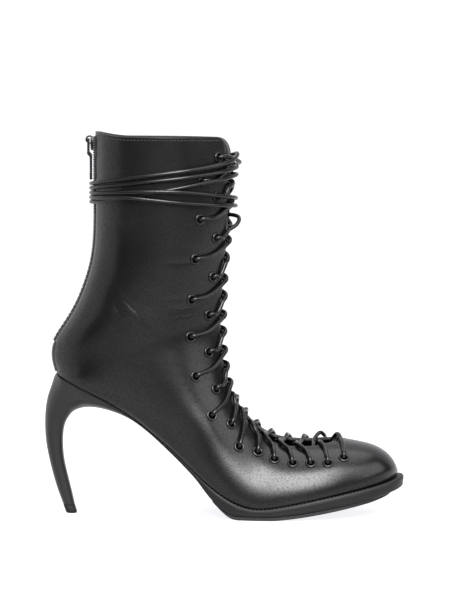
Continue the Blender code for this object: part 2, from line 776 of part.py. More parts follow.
def lace_path(first_side):
    """Middle line of one half of the lace, from the toe end up to the collar."""
    path = []
    side = first_side
    for low, high in zip(EYELETS[:0:-1], EYELETS[-2::-1]):
        rise = high.along - low.along
        reach = low.inset - LACE_STOP
        far = high.inset - LACE_STOP
        path.append(on_flap(low.along, reach + 2.0, side, LACE_LIFT))
        path.append(on_flap(low.along + LACE_TURN, reach, side, LACE_LIFT))
        if reach > 12.0:
            path.append(on_flap(low.along + 0.2 * rise + 0.5 * LACE_TURN, 0.5 * reach, side, LACE_LIFT))
        if reach > 3.0:
            path.append(on_flap(low.along + 0.36 * rise, 1.0, side, LACE_LIFT + 0.5))
        edge = on_flap(low.along + 0.42 * rise, 0.0, side, LACE_LIFT)
        other = on_flap(high.along - 0.42 * rise, 0.0, -side, LACE_LIFT)
        over = 1.3 if first_side < 0.0 else 0.7
        path.append(0.5 * (edge + other) + over * np.array([0.8, 0.0, 0.6]))
        if far > 3.0:
            path.append(on_flap(high.along - 0.36 * rise, 1.0, -side, LACE_LIFT + 0.5))
        if far > 12.0:
            path.append(on_flap(high.along - 0.2 * rise - 0.5 * LACE_TURN, 0.5 * far, -side, LACE_LIFT))
        path.append(on_flap(high.along - LACE_TURN, far, -side, LACE_LIFT))
        side = -side
    return np.array(path)


def swept(path, radius, count):
    """Round tube along a path, kept from twisting."""
    ahead = np.gradient(path, axis=0)
    ahead = ahead / np.linalg.norm(ahead, axis=1)[:, None]
    side = np.cross(ahead[0], (0.3, 0.2, 1.0))
    loops = []
    for point, along in zip(path, ahead):
        side = side - along * np.dot(side, along)
        side = side / np.linalg.norm(side)
        up = np.cross(along, side)
        turns = [2.0 * math.pi * i / count for i in range(count)]
        loops.append([point + radius * (math.cos(a) * side + math.sin(a) * up) for a in turns])
    return tube(loops)


def make_lace_crossings(cord):
    points, faces = swept(lace_path(-1.0), 0.5 * CORD, 4)
    laced = add_mesh("lace_crossings", points, faces, cord, merge=0.001)
    points, faces = swept(lace_path(1.0), 0.5 * CORD, 4)
    cut(laced, points, faces, "lace_second_half", "UNION")
    return laced


def shaft_point(turns, z, lift):
    """Point at a height on the shaft; turns run from the front by the outer side."""
    part = turns % 1.0
    side = -1.0 if part <= 0.5 else 1.0
    angle = 2.0 * math.pi * (part if side < 0 else 1.0 - part)
    low, high = HEEL_S, TOP_S
    for _ in range(40):
        middle = 0.5 * (low + high)
        if upper_point(middle, angle, side)[2] < z:
            low = middle
        else:
            high = middle
    normal = upper_normal(low, min(max(angle, 0.05), math.pi - 0.01), side)
    if angle < 0.35:
        normal = np.array([1.0, 0.0, 0.0]) * (1.0 - angle / 0.35) + normal * angle / 0.35
    normal[2] = 0.0
    return upper_point(low, angle, side) + normal / np.linalg.norm(normal) * lift


def wound_path(rows, count):
    line = spline(np.arange(len(rows)), [(r.turns, r.z, r.lift) for r in rows])
    fine = line(np.linspace(0.0, len(rows) - 1.0, 400))
    points = np.array([shaft_point(*row) for row in fine])
    run = np.concatenate([[0.0], np.cumsum(np.linalg.norm(np.diff(points, axis=0), axis=1))])
    even = np.linspace(0.0, run[-1], count)
    return np.stack([np.interp(even, run, points[:, k]) for k in range(3)], axis=1)


def make_wrap(name, rows, cord):
    curve = bpy.data.curves.new(name, "CURVE")
    curve.dimensions = "3D"
    curve.bevel_depth = 0.5 * CORD * MM
    curve.bevel_resolution = 1
    curve.use_fill_caps = True
    path = wound_path(rows, WRAP_POINTS)
    line = curve.splines.new("POLY")
    line.points.add(len(path) - 1)
    for point, place in zip(line.points, path):
        point.co = (*(place * MM), 1.0)
    curve.materials.append(cord)
    placed = bpy.data.objects.new(name, curve)
    bpy.context.scene.collection.objects.link(placed)
    return placed


def back_station(z):
    fine = np.linspace(HEEL_S, TOP_S, 1500)
    return float(np.interp(z, BACK(fine)[:, 1], fine))


def back_frame(s):
    """Point of the back line and its outward direction."""
    d = 0.5
    along = BACK(min(s + d, TOP_S)) - BACK(max(s - d, HEEL_S))
    along = along / np.linalg.norm(along)
    return BACK(s), np.array([-along[1], along[0]])


def make_zip_chain(metal):
    loops = []
    for s in np.linspace(back_station(ZIP_LOW_Z), TOP_S, 16):
        point, out = back_frame(s)
        loop = []
        for y, lift in ((-1.0, 0.3), (-1.0, 0.7), (-0.45, 1.0), (0.45, 1.0), (1.0, 0.7), (1.0, 0.3)):
            away = SKIN_GAP if lift == 0.3 else SKIN_GAP + lift * ZIP_THICK
            place = point + out * away
            loop.append(np.array([place[0], y * ZIP_HALF, place[1]]))
        loops.append(loop)
    points, faces = tube(loops)
    return add_mesh("zip_chain", points, faces, metal)


def make_back_stay(leather):
    stations = np.linspace(HEEL_S + 1.0, back_station(STAY_TOP_Z), 5)
    inner = []
    outer = []
    for s in stations:
        rows = ([], [])
        for side in (-1.0, 1.0):
            angles, run = girth_run(s, side, 2.0)
            back = np.interp(run[-1] - np.array([STAY_HALF, 0.66 * STAY_HALF, 0.33 * STAY_HALF]), run, angles)
            for keep, lift in zip(rows, (SKIN_GAP, SKIN_GAP + STAY_THICK)):
                arc = [skin_lifted(s, a, side, lift) for a in back]
                keep.append(arc if side < 0 else arc[::-1])
        point, out = back_frame(s)
        for keep, arcs, lift in zip((inner, outer), rows, (SKIN_GAP, SKIN_GAP + STAY_THICK)):
            middle = point + out * lift
            keep.append(arcs[0] + [np.array([middle[0], 0.0, middle[1]])] + arcs[1])
    loops = [row_in + row_out[::-1] for row_in, row_out in zip(inner, outer)]
    points, faces = tube(loops)
    return add_mesh("back_stay", points, faces, leather)


def block(low, high):
    """Box between two corners."""
    loops = []
    for z in (low[2], high[2]):
        loops.append([
            np.array([low[0], low[1], z]),
            np.array([high[0], low[1], z]),
            np.array([high[0], high[1], z]),
            np.array([low[0], high[1], z]),
        ])
    return tube(loops)


def rod(x, z, half, radius, count=8):
    """Round bar across the boot."""
    turns = [2.0 * math.pi * i / count for i in range(count)]
    loops = []
    for y in (-half, half):
        loops.append([np.array([x + radius * math.cos(a), y, z + radius * math.sin(a)]) for a in turns])
    return tube(loops)


def make_zip_slider(metal):
    face = BACK(TOP_S)[0] - SKIN_GAP - ZIP_THICK - GAP
    loops = []
    for z, share in ((SLIDER_LOW_Z, 0.7), (SLIDER_LOW_Z + 3.0, 1.0), (SLIDER_TOP_Z, 0.85)):
        half = SLIDER_HALF * share
        deep = face - SLIDER_THICK * (0.8 if share < 1.0 else 1.0)
        loops.append([
            np.array([face, -half, z]),
            np.array([face, half, z]),
            np.array([deep, 0.7 * half, z]),
            np.array([deep, -0.7 * half, z]),
        ])
    points, faces = tube(loops)
    slider = add_mesh("zip_slider", points, faces, metal)
    bridge = block((HINGE_X - 1.9, -0.8, HINGE_Z - 2.2), (face - 0.5, 0.8, HINGE_Z + 2.0))
    cut(slider, *bridge, "slider_bridge", "UNION")
    cut(slider, *rod(HINGE_X, HINGE_Z, 1.6, 1.1), "slider_eye")
    return slider


def make_zip_pull(metal):
    points, faces = rod(HINGE_X, HINGE_Z, PULL_HALF, 0.7)
    pull = add_mesh("zip_pull", points, faces, metal, home=(HINGE_X, 0.0, HINGE_Z))
    half = 0.5 * PULL_THICK
    knee = HINGE_Z - PULL_KNEE
    for word, y in (("pull_arm_a", -PULL_HALF), ("pull_arm_b", PULL_HALF - 1.2)):
        arm = block((HINGE_X - half, y, knee - 1.0), (HINGE_X + half, y + 1.2, HINGE_Z + 0.7))
        cut(pull, *arm, word, "UNION")
    low = HINGE_Z - PULL_LENGTH
    profile = [
        (-half, knee),
        (-half, knee - 1.6),
        (PULL_SET - half, knee - 3.4),
        (PULL_SET - half, low),
        (PULL_SET + half, low),
        (PULL_SET + half, knee - 2.0),
        (half, knee),
    ]
    edges = (-PULL_HALF - 0.3, PULL_HALF + 0.3)
    plate = tube([[np.array([HINGE_X + x, y, z]) for x, z in profile] for y in edges])
    cut(pull, *plate, "pull_plate", "UNION")
    return pull


def main():
    for old in list(bpy.data.objects):
        bpy.data.objects.remove(old, do_unlink=True)
    leather = material("black_leather", (0.012, 0.012, 0.013), 0.38)
    stay = material("stay_leather", (0.012, 0.012, 0.013), 0.4)
    sole_leather = material("sole_edge", (0.015, 0.014, 0.014), 0.45)
    rubber = material("black_rubber", (0.03, 0.03, 0.03), 0.6)
    tip_rubber = material("tip_rubber", (0.02, 0.02, 0.02), 0.55)
    covered = material("heel_cover", (0.012, 0.012, 0.013), 0.33)
    lining = material("lining", (0.06, 0.05, 0.045), 0.7)
    enamel = material("black_enamel", (0.01, 0.01, 0.01), 0.25, 0.4)
    cord = material("leather_cord", (0.012, 0.012, 0.013), 0.3)
    chain = material("zip_metal", (0.12, 0.12, 0.125), 0.4, 0.8)
    slider = material("slider_metal", (0.1, 0.1, 0.105), 0.35, 0.9)
    pull = material("pull_metal", (0.08, 0.08, 0.085), 0.3, 0.9)
    cut_eyelet_holes(make_upper(leather))
    make_sole(sole_leather)
    make_tread(rubber)
    make_insole(lining)
    make_heel(covered)
    make_heel_tip(tip_rubber)
    make_back_stay(stay)
    make_zip_chain(chain)
    make_zip_slider(slider)
    make_zip_pull(pull)
    make_eyelets(enamel)
    make_lace_crossings(cord)
    make_wrap("lace_wrap_a", WRAP_A, cord)
    make_wrap("lace_wrap_b", WRAP_B, cord)
    pieces = list(bpy.data.objects)
    boot = bpy.data.objects.new("boot", None)
    boot.location = (CENTRE_X * MM, CENTRE_Y * MM, 0.0)
    bpy.context.scene.collection.objects.link(boot)
    for piece in pieces:
        piece.parent = boot


main()
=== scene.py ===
# Looks of the lace-up ankle boot: leather, lace, zip, stitches, studio light and camera.
import json
import math

import bmesh
import bpy
import numpy as np
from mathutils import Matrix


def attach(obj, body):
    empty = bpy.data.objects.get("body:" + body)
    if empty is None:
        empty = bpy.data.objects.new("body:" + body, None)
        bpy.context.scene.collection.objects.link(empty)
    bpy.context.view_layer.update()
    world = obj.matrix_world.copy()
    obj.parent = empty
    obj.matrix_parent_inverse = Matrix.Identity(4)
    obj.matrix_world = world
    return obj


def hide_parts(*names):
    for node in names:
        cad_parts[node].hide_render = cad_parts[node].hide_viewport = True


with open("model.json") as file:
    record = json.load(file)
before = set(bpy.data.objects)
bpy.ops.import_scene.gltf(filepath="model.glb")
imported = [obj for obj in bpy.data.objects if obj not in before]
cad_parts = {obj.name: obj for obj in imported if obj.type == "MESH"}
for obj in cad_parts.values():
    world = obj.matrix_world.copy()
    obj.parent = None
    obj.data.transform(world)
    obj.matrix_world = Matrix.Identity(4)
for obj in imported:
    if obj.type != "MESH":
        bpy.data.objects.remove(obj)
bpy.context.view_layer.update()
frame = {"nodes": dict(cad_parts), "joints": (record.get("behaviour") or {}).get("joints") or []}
mm = 0.001
shift = np.array([0.35, 0.8, 0.0])  # middle of the boot's box over the origin
lateral, medial = -1.0, 1.0  # outer and inner side of the foot
print("frame loaded:", len(frame["nodes"]), "nodes")


# Shader sums


class Wire:  # one socket, usable in sums
    def __init__(self, finish, socket):
        self.finish = finish
        self.socket = socket

    def sum(self, operation, first, second):
        return self.finish.node("ShaderNodeMath", {"operation": operation}, {0: first, 1: second})

    def __add__(self, other):
        return self.sum("ADD", self, other)

    def __sub__(self, other):
        return self.sum("SUBTRACT", self, other)

    def __rsub__(self, other):
        return self.sum("SUBTRACT", other, self)

    def __mul__(self, other):
        return self.sum("MULTIPLY", self, other)

    __radd__ = __add__
    __rmul__ = __mul__


class Finish:  # a material and the nodes that make it
    def __init__(self, name, fixed):
        self.made = bpy.data.materials.new(name)
        self.made.use_nodes = True
        self.tree = self.made.node_tree
        self.shader = self.tree.nodes["Principled BSDF"]
        for socket, value in fixed.items():
            self.shader.inputs[socket].default_value = value
        self.at = self.node("ShaderNodeTexCoord", out=3)

    def node(self, kind, settings=None, sockets=None, out=0):
        node = self.tree.nodes.new(kind)
        for key, value in (settings or {}).items():
            if key == "stops":
                for stop, (place, shade) in zip(node.color_ramp.elements, value):
                    stop.position = place
                    stop.color = (shade, shade, shade, 1.0)
            else:
                setattr(node, key, value)
        for key, value in (sockets or {}).items():
            self.feed(node.inputs[key], value)
        return Wire(self, node.outputs[out])

    def feed(self, socket, value):
        if isinstance(value, Wire):
            self.tree.links.new(value.socket, socket)
        else:
            socket.default_value = value

    def give(self, **sockets):  # what changes over the surface
        for key, value in sockets.items():
            self.feed(self.shader.inputs[key.replace("_", " ")], value)

    def spots(self, share, fixed):  # a duller second surface where share is high
        dull = self.tree.nodes.new("ShaderNodeBsdfPrincipled")
        for socket, value in fixed.items():
            dull.inputs[socket].default_value = value
        both = self.node("ShaderNodeMixShader", {}, {0: share})
        for number, shader in ((1, self.shader), (2, dull)):
            self.tree.links.new(shader.outputs[0], both.socket.node.inputs[number])
        self.tree.links.new(both.socket, self.tree.nodes["Material Output"].inputs[0])

    def noise(self, perMetre, detail=2.0, at=None):
        sockets = {"Vector": at or self.at, "Scale": perMetre, "Detail": detail}
        return self.node("ShaderNodeTexNoise", {}, sockets)

    def cells(self, perMetre, feature="F1"):
        sockets = {"Vector": self.at, "Scale": perMetre}
        return self.node("ShaderNodeTexVoronoi", {"feature": feature}, sockets)

    def threads(self, perMetre, way):
        sockets = {"Vector": self.at, "Scale": perMetre}
        return self.node("ShaderNodeTexWave", {"bands_direction": way}, sockets)

    def axis(self, number):  # 0, 1 or 2 for x, y or z
        return self.node("ShaderNodeSeparateXYZ", {}, {0: self.at}, out=number)

    def ramp(self, value, low, high):
        stops = [(low, 0.0), (high, 1.0)]
        return self.node("ShaderNodeValToRGB", {"stops": stops}, {"Fac": value})

    def blend(self, first, second, share):
        return self.node("ShaderNodeMix", {"data_type": "RGBA"}, {0: share, 6: first, 7: second}, out=2)

    def stretch(self, x, y, z):
        return self.node("ShaderNodeVectorMath", {"operation": "MULTIPLY"}, {0: self.at, 1: (x, y, z)})

    def bump(self, height, depthMm, over=None):
        sockets = {"Height": height, "Distance": depthMm * mm}
        if over:
            sockets["Normal"] = over
        return self.node("ShaderNodeBump", {}, sockets)

    def ease(self, value, low, high, least=0.0):
        sockets = {"Value": value, 1: low, 2: high, 3: least}
        return self.node("ShaderNodeMapRange", {"interpolation_type": "SMOOTHSTEP"}, sockets)

    def crease(self, ends, halfMm, sway):  # thin line on the outer side, between two points (x, z)
        (ax, az), (bx, bz) = [((x + shift[0]) * mm, z * mm) for x, z in ends]
        long = math.hypot(bx - ax, bz - az)
        ux, uz = (bx - ax) / long, (bz - az) / long
        x, y, z = (self.axis(number) for number in range(3))
        along = (x - ax) * ux + (z - az) * uz
        aside = (z - az) * ux - (x - ax) * uz + sway
        far = self.node("ShaderNodeMath", {"operation": "ABSOLUTE"}, {0: aside})
        fade = self.ease(along, 0.0, 0.25 * long) * (1 - self.ease(along, 0.75 * long, long))
        outerSide = 1 - self.ease(y, -10 * mm, 0.0)
        return (1 - self.ease(far, 0.0, halfMm * mm)) * fade * outerSide


def grey(value):
    return (value, value, value * 1.03, 1.0)


def leatherFinish(name, look):
    f = Finish(name, {"Coat Roughness": look["coatRough"], "IOR": look["ior"]})
    pores = f.ramp(f.cells(look["porePerMetre"], "DISTANCE_TO_EDGE"), 0.0, 0.28)
    fine = f.noise(look["porePerMetre"] * 1.7, 3.0)
    cloud = f.noise(look["cloudPerMetre"])
    drawn = f.noise(look["cloudPerMetre"] * 3.0, 3.0, f.stretch(1.0, 1.0, look["streak"]))
    dots = f.ramp(f.noise(look["dotsPerMetre"]), 0.48, 0.66)
    dull = {"Base Color": grey(look["dark"]), "Roughness": look["dotRough"], "IOR": look["dotIor"]}
    f.spots(dots * look["dots"], dull)
    under = None
    for ends, half, deep in look["creases"]:
        sway = (f.noise(look["swayPerMetre"]) - 0.5) * (look["swayMm"] * mm)
        line = f.crease(ends, half, sway) * deep
        under = under + line if under else line
    over = f.bump(under, -1.0) if under else None
    f.give(
        Base_Color=f.blend(grey(look["dark"]), grey(look["light"]), f.ramp(cloud, 0.3, 0.75)),
        Roughness=look["rough"] + (cloud - 0.5) * look["roughSpread"] + (fine - 0.5) * 0.05,
        Coat_Weight=look["coat"] * f.ramp(drawn, 0.2, 0.8),
        Normal=f.bump(pores * 0.6 + fine * 0.5 + drawn * look["drawn"], look["grainMm"], over),
    )
    return f.made


leatherLook = {
    "dark": 0.0014, "light": 0.003, "ior": 1.36, "rough": 0.26, "roughSpread": 0.06,
    "coat": 0.05, "coatRough": 0.3, "porePerMetre": 1150.0, "cloudPerMetre": 28.0, "grainMm": 0.02,
    "drawn": 2.0, "streak": 2.4,  # depth and slimness of the soft streaks
    "dots": 0.5, "dotsPerMetre": 1150.0, "dotRough": 0.42, "dotIor": 1.18,  # small dull dots
    "swayMm": 4.5, "swayPerMetre": 90.0,  # how thin creases wander
    # thin creases: ends (x, z) on the outer side, half width, depth
    "creases": [
        (((-66.5, 144.4), (-55.4, 132.0)), 1.7, 0.07), (((-60.6, 137.4), (-45.6, 120.0)), 1.7, 0.08),
        (((-70.6, 136.5), (-65.0, 128.6)), 1.6, 0.05), (((-38.0, 162.6), (-18.5, 162.8)), 1.8, 0.12),
        (((-40.5, 139.4), (-26.0, 139.4)), 1.5, 0.1), (((-37.0, 133.4), (-18.0, 133.8)), 1.8, 0.12),
        (((-34.0, 127.0), (-19.0, 128.4)), 1.6, 0.1),
    ],
}
stayLook = {**leatherLook, "creases": [], "rough": 0.28}
heelLook = {
    **leatherLook, "creases": [], "dots": 0.25, "rough": 0.38, "roughSpread": 0.08,
    "dark": 0.0045, "light": 0.007, "drawn": 0.8, "grainMm": 0.015,
}
cordLook = {
    **leatherLook, "creases": [], "dots": 0.4, "rough": 0.23, "roughSpread": 0.08, "coat": 0.08,
    "coatRough": 0.2, "dark": 0.002, "light": 0.004, "ior": 1.34, "drawn": 0.6, "grainMm": 0.015,
}
liningLook = {
    "dark": 0.005, "warm": (0.014, 0.012, 0.011, 1.0), "cloudPerMetre": 40.0, "rough": 0.7,
    "roughSpread": 0.2, "napPerMetre": 2600.0, "napMm": 0.08,
}


def liningFinish(look):
    f = Finish("lining", {"IOR": 1.45})
    nap = f.noise(look["napPerMetre"], 4.0)
    f.give(
        Base_Color=f.blend(grey(look["dark"]), look["warm"], f.noise(look["cloudPerMetre"])),
        Roughness=look["rough"] + nap * look["roughSpread"],
        Normal=f.bump(nap, look["napMm"]),
    )
    return f.made


edgeLook = {
    "dark": 0.0035, "light": 0.0065, "cloudPerMetre": 60.0, "layersPerMetre": 420.0, "layerLong": 0.06,
    "grainPerMetre": 1500.0, "grainMm": 0.09, "rough": 0.42, "grainSpread": 0.2, "cloudSpread": 0.15,
}


def edgeFinish(look):  # waxed leather edge with faint layers
    f = Finish("sole_edge", {"IOR": 1.3})
    layers = f.noise(look["layersPerMetre"], 2.0, f.stretch(look["layerLong"], look["layerLong"], 1.0))
    grain = f.noise(look["grainPerMetre"], 3.0)
    cloud = f.noise(look["cloudPerMetre"])
    mottle = f.ramp(cloud * 0.6 + layers * 0.4, 0.3, 0.7)
    f.give(
        Base_Color=f.blend(grey(look["dark"]), grey(look["light"]), mottle),
        Roughness=look["rough"] + grain * look["grainSpread"] + (cloud - 0.5) * look["cloudSpread"],
        Normal=f.bump(layers * 0.7 + grain * 0.3, look["grainMm"]),
    )
    return f.made


rubberLook = {
    "worn": 1.9, "wornPerMetre": 35.0, "speckPerMetre": 1800.0, "rough": 0.58, "roughSpread": 0.2,
    "dotMm": 0.22,
}


def rubberFinish(name, tone, dotsPerMetre, ior=1.36, look=rubberLook):
    f = Finish(name, {"IOR": ior})
    dots = f.ramp(f.cells(dotsPerMetre), 0.15, 0.6)
    speck = f.noise(look["speckPerMetre"], 4.0)
    rubbed = f.ramp(f.noise(look["wornPerMetre"], 3.0), 0.35, 0.7)
    f.give(
        Base_Color=f.blend(grey(tone), grey(tone * look["worn"]), rubbed),
        Roughness=look["rough"] + speck * look["roughSpread"],
        Normal=f.bump(dots * 0.8 + speck * 0.3, look["dotMm"]),
    )
    return f.made


metalLook = {
    "worn": 2.5, "rubPerMetre": 170.0, "brushPerMetre": 2400.0, "brushLong": 0.12, "brushMm": 0.02,
    "metallic": 0.75, "metallicSpread": 0.2, "roughSpread": 0.2,
}


def metalFinish(name, tone, rough, look=metalLook):
    f = Finish(name, {})
    brushed = f.noise(look["brushPerMetre"], 3.0, f.stretch(1.0, 1.0, look["brushLong"]))
    rub = f.noise(look["rubPerMetre"], 3.0)
    f.give(
        Base_Color=f.blend(grey(tone), grey(tone * look["worn"]), f.ramp(rub, 0.45, 0.8)),
        Metallic=look["metallic"] + f.ramp(rub, 0.3, 0.7) * look["metallicSpread"],
        Roughness=rough + (brushed - 0.5) * look["roughSpread"],
        Normal=f.bump(brushed, look["brushMm"]),
    )
    return f.made


enamelLook = {
    "dark": 0.004, "bare": 0.02, "metallic": 0.5, "rough": 0.15, "roughSpread": 0.1, "coat": 0.1,
    "coatLost": 0.08, "filmPerMetre": 700.0, "filmMm": 0.03, "chipPerMetre": 300.0,
}


def enamelFinish(look):
    f = Finish("black_enamel", {"IOR": 1.34, "Coat Roughness": 0.12})
    film = f.noise(look["filmPerMetre"])
    chip = f.ramp(f.noise(look["chipPerMetre"], 4.0), 0.62, 0.72)  # where the enamel is rubbed thin
    f.give(
        Base_Color=f.blend(grey(look["dark"]), grey(look["bare"]), chip),
        Metallic=chip * look["metallic"],
        Roughness=look["rough"] + film * look["roughSpread"],
        Coat_Weight=look["coat"] - chip * look["coatLost"],
        Normal=f.bump(film, look["filmMm"]),
    )
    return f.made


weaveLook = {"lighter": 2.2, "fuzzPerMetre": 2500.0, "rough": 0.75, "roughSpread": 0.15, "threadMm": 0.12}


def weaveFinish(name, tone, threadsPerMetre, look=weaveLook):
    f = Finish(name, {"IOR": 1.45})
    along, across = (f.threads(threadsPerMetre, way) for way in ("Z", "Y"))
    fuzz = f.noise(look["fuzzPerMetre"], 3.0)
    f.give(
        Base_Color=f.blend(grey(tone), grey(tone * look["lighter"]), along * across),
        Roughness=look["rough"] + fuzz * look["roughSpread"],
        Normal=f.bump(along + across + fuzz * 0.4, look["threadMm"]),
    )
    return f.made


leather = leatherFinish("black_leather", leatherLook)
stayLeather = leatherFinish("stay_leather", stayLook)
heelLeather = leatherFinish("heel_cover", heelLook)
cordLeather = leatherFinish("leather_cord", cordLook)
lining = liningFinish(liningLook)
cutEdge = rubberFinish("cut_edge", 0.014, 900.0)
soleEdge = edgeFinish(edgeLook)
treadRubber = rubberFinish("black_rubber", 0.008, 260.0)
tipRubber = rubberFinish("tip_rubber", 0.0045, 700.0, 1.26)
enamel = enamelFinish(enamelLook)
zipMetal = metalFinish("zip_metal", 0.022, 0.4)
sliderMetal = metalFinish("slider_metal", 0.014, 0.32)
pullMetal = metalFinish("pull_metal", 0.018, 0.3)
zipTape = weaveFinish("zip_tape", 0.012, 700.0)
thread = weaveFinish("thread", 0.02, 1600.0)
print("finishes made")


# Meshes


def gridFaces(rows, columns, closed=False):
    i = np.arange(rows - 1)[:, None] * columns
    j = np.arange(columns if closed else columns - 1)[None, :]
    k = (j + 1) % columns
    return np.stack([i + j, i + k, i + k + columns, i + j + columns], -1).reshape(-1, 4).tolist()


def tubeBody(loops, ends=True):
    loops = np.asarray(loops, float)
    rows, columns = loops.shape[:2]
    faces = gridFaces(rows, columns, closed=True)
    if ends:
        faces += [list(range(columns))[::-1], list(range((rows - 1) * columns, rows * columns))]
    return loops.reshape(-1, 3), faces


class Heap:  # many small bodies gathered into one mesh
    def __init__(self):
        self.points = []
        self.faces = []
        self.count = 0

    def add(self, body):
        points, faces = body
        self.faces += [[i + self.count for i in face] for face in faces]
        self.points.append(np.asarray(points, float))
        self.count += len(points)


def unit(vector):
    vector = np.asarray(vector, float)
    return vector / np.linalg.norm(vector, axis=-1, keepdims=True)


def newObject(name, data):
    made = bpy.data.objects.new(name, data)
    bpy.context.scene.collection.objects.link(made)
    return made


def meshPiece(name, body, finishes, stands=(), rides="boot", weld=0.001, sharp=0.0):
    points, faces = (np.concatenate(body.points), body.faces) if isinstance(body, Heap) else body
    mesh = bpy.data.meshes.new(name)
    mesh.from_pydata(((np.asarray(points, float) + shift) * mm).tolist(), [], faces)
    build = bmesh.new()
    build.from_mesh(mesh)
    bmesh.ops.remove_doubles(build, verts=build.verts[:], dist=weld * mm)
    bmesh.ops.dissolve_degenerate(build, edges=build.edges[:], dist=1e-7)
    bmesh.ops.recalc_face_normals(build, faces=build.faces[:])
    build.to_mesh(mesh)
    build.free()
    for finish in finishes:
        mesh.materials.append(finish)
    mesh.shade_smooth()
    if sharp:
        mesh.set_sharp_from_angle(angle=math.radians(sharp))
    piece = newObject(name, mesh)
    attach(piece, rides)
    if stands:
        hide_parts(*stands)
    return piece


def rounded(piece, widthMm):
    bevel = piece.modifiers.new("soft_edges", "BEVEL")
    bevel.width = widthMm * mm
    bevel.segments = 2
    bevel.limit_method = "ANGLE"
    bevel.angle_limit = math.radians(40.0)


def splineThrough(knots, rows):  # natural cubic through one row of values for each knot
    knots = np.asarray(knots, float)
    rows = np.asarray(rows, float)
    step = np.diff(knots)
    slope = np.diff(rows, axis=0) / step[:, None]
    matrix = np.eye(len(knots))
    right = np.zeros_like(rows)
    for i in range(1, len(knots) - 1):
        matrix[i, i - 1:i + 2] = step[i - 1], 2.0 * (step[i - 1] + step[i]), step[i]
        right[i] = 6.0 * (slope[i] - slope[i - 1])
    bend = np.linalg.solve(matrix, right)

    def at(where):
        where = np.clip(np.asarray(where, float), knots[0], knots[-1])
        i = np.clip(np.searchsorted(knots, where, side="right") - 1, 0, len(knots) - 2)
        wide = step[i][..., None]
        b = (where - knots[i])[..., None] / wide
        a = 1.0 - b
        cubic = ((a ** 3 - a) * bend[i] + (b ** 3 - b) * bend[i + 1]) * wide ** 2 / 6.0
        return a * rows[i] + b * rows[i + 1] + cubic

    return at


def runOf(points, power=1.0):  # distance along a line, at each of its points
    return np.concatenate([[0.0], np.cumsum(np.linalg.norm(np.diff(points, axis=0), axis=1) ** power)])


def onRun(where, run, values):
    return np.stack([np.interp(where, run, values[:, k]) for k in range(3)], -1)


def evenly(points, count):
    run = runOf(points)
    return onRun(np.linspace(0.0, run[-1], count), run, points)


def smoothPath(keys, step):
    keys = np.asarray(keys, float)
    knots = runOf(keys, 0.5)
    fine = splineThrough(knots, keys)(np.linspace(0.0, knots[-1], 30 * len(keys)))
    return evenly(fine, int(runOf(fine)[-1] / step) + 1)


def ring(u, v, count):
    turns = np.linspace(0.0, 2.0 * math.pi, count, endpoint=False)[:, None]
    return np.cos(turns) * u + np.sin(turns) * v


def sweep(path, radius, sides):
    ahead = unit(np.gradient(path, axis=0))
    side = np.cross(ahead[0], (0.3, 0.2, 1.0))
    loops = []
    for point, way in zip(path, ahead):
        side = unit(side - way * np.dot(side, way))
        loops.append(point + radius * ring(side, np.cross(way, side), sides))
    return tubeBody(loops)


# share of half the stitch's length, thickness, how far it sinks in
stitchForm = [(-1.0, 0.35, -0.5), (-0.7, 0.85, -0.1), (0.0, 1.0, 0.0), (0.7, 0.85, -0.1), (1.0, 0.35, -0.5)]


def stitchBody(middle, along, out, size):  # short thread lying on a surface
    along = unit(along)
    out = unit(out - along * np.dot(out, along))
    loop = ring(np.cross(along, out) * size["wide"] * 0.5, out * size["high"] * 0.5, 6)
    loops = []
    for share, thick, dip in stitchForm:
        spot = middle + along * share * size["long"] * 0.5 + out * dip * size["high"]
        loops.append(spot + loop * thick)
    return tubeBody(loops)


def stitchRow(heap, points, normals, size):
    run = runOf(points)
    count = int(run[-1] / size["pitch"])
    ahead = np.gradient(points, axis=0)
    for spot in (np.arange(count) + 0.5) * run[-1] / count:
        middle, along, out = (onRun(spot, run, values) for values in (points, ahead, normals))
        heap.add(stitchBody(middle, along, out, size))


# The last: sections of the foot and shaft, mm

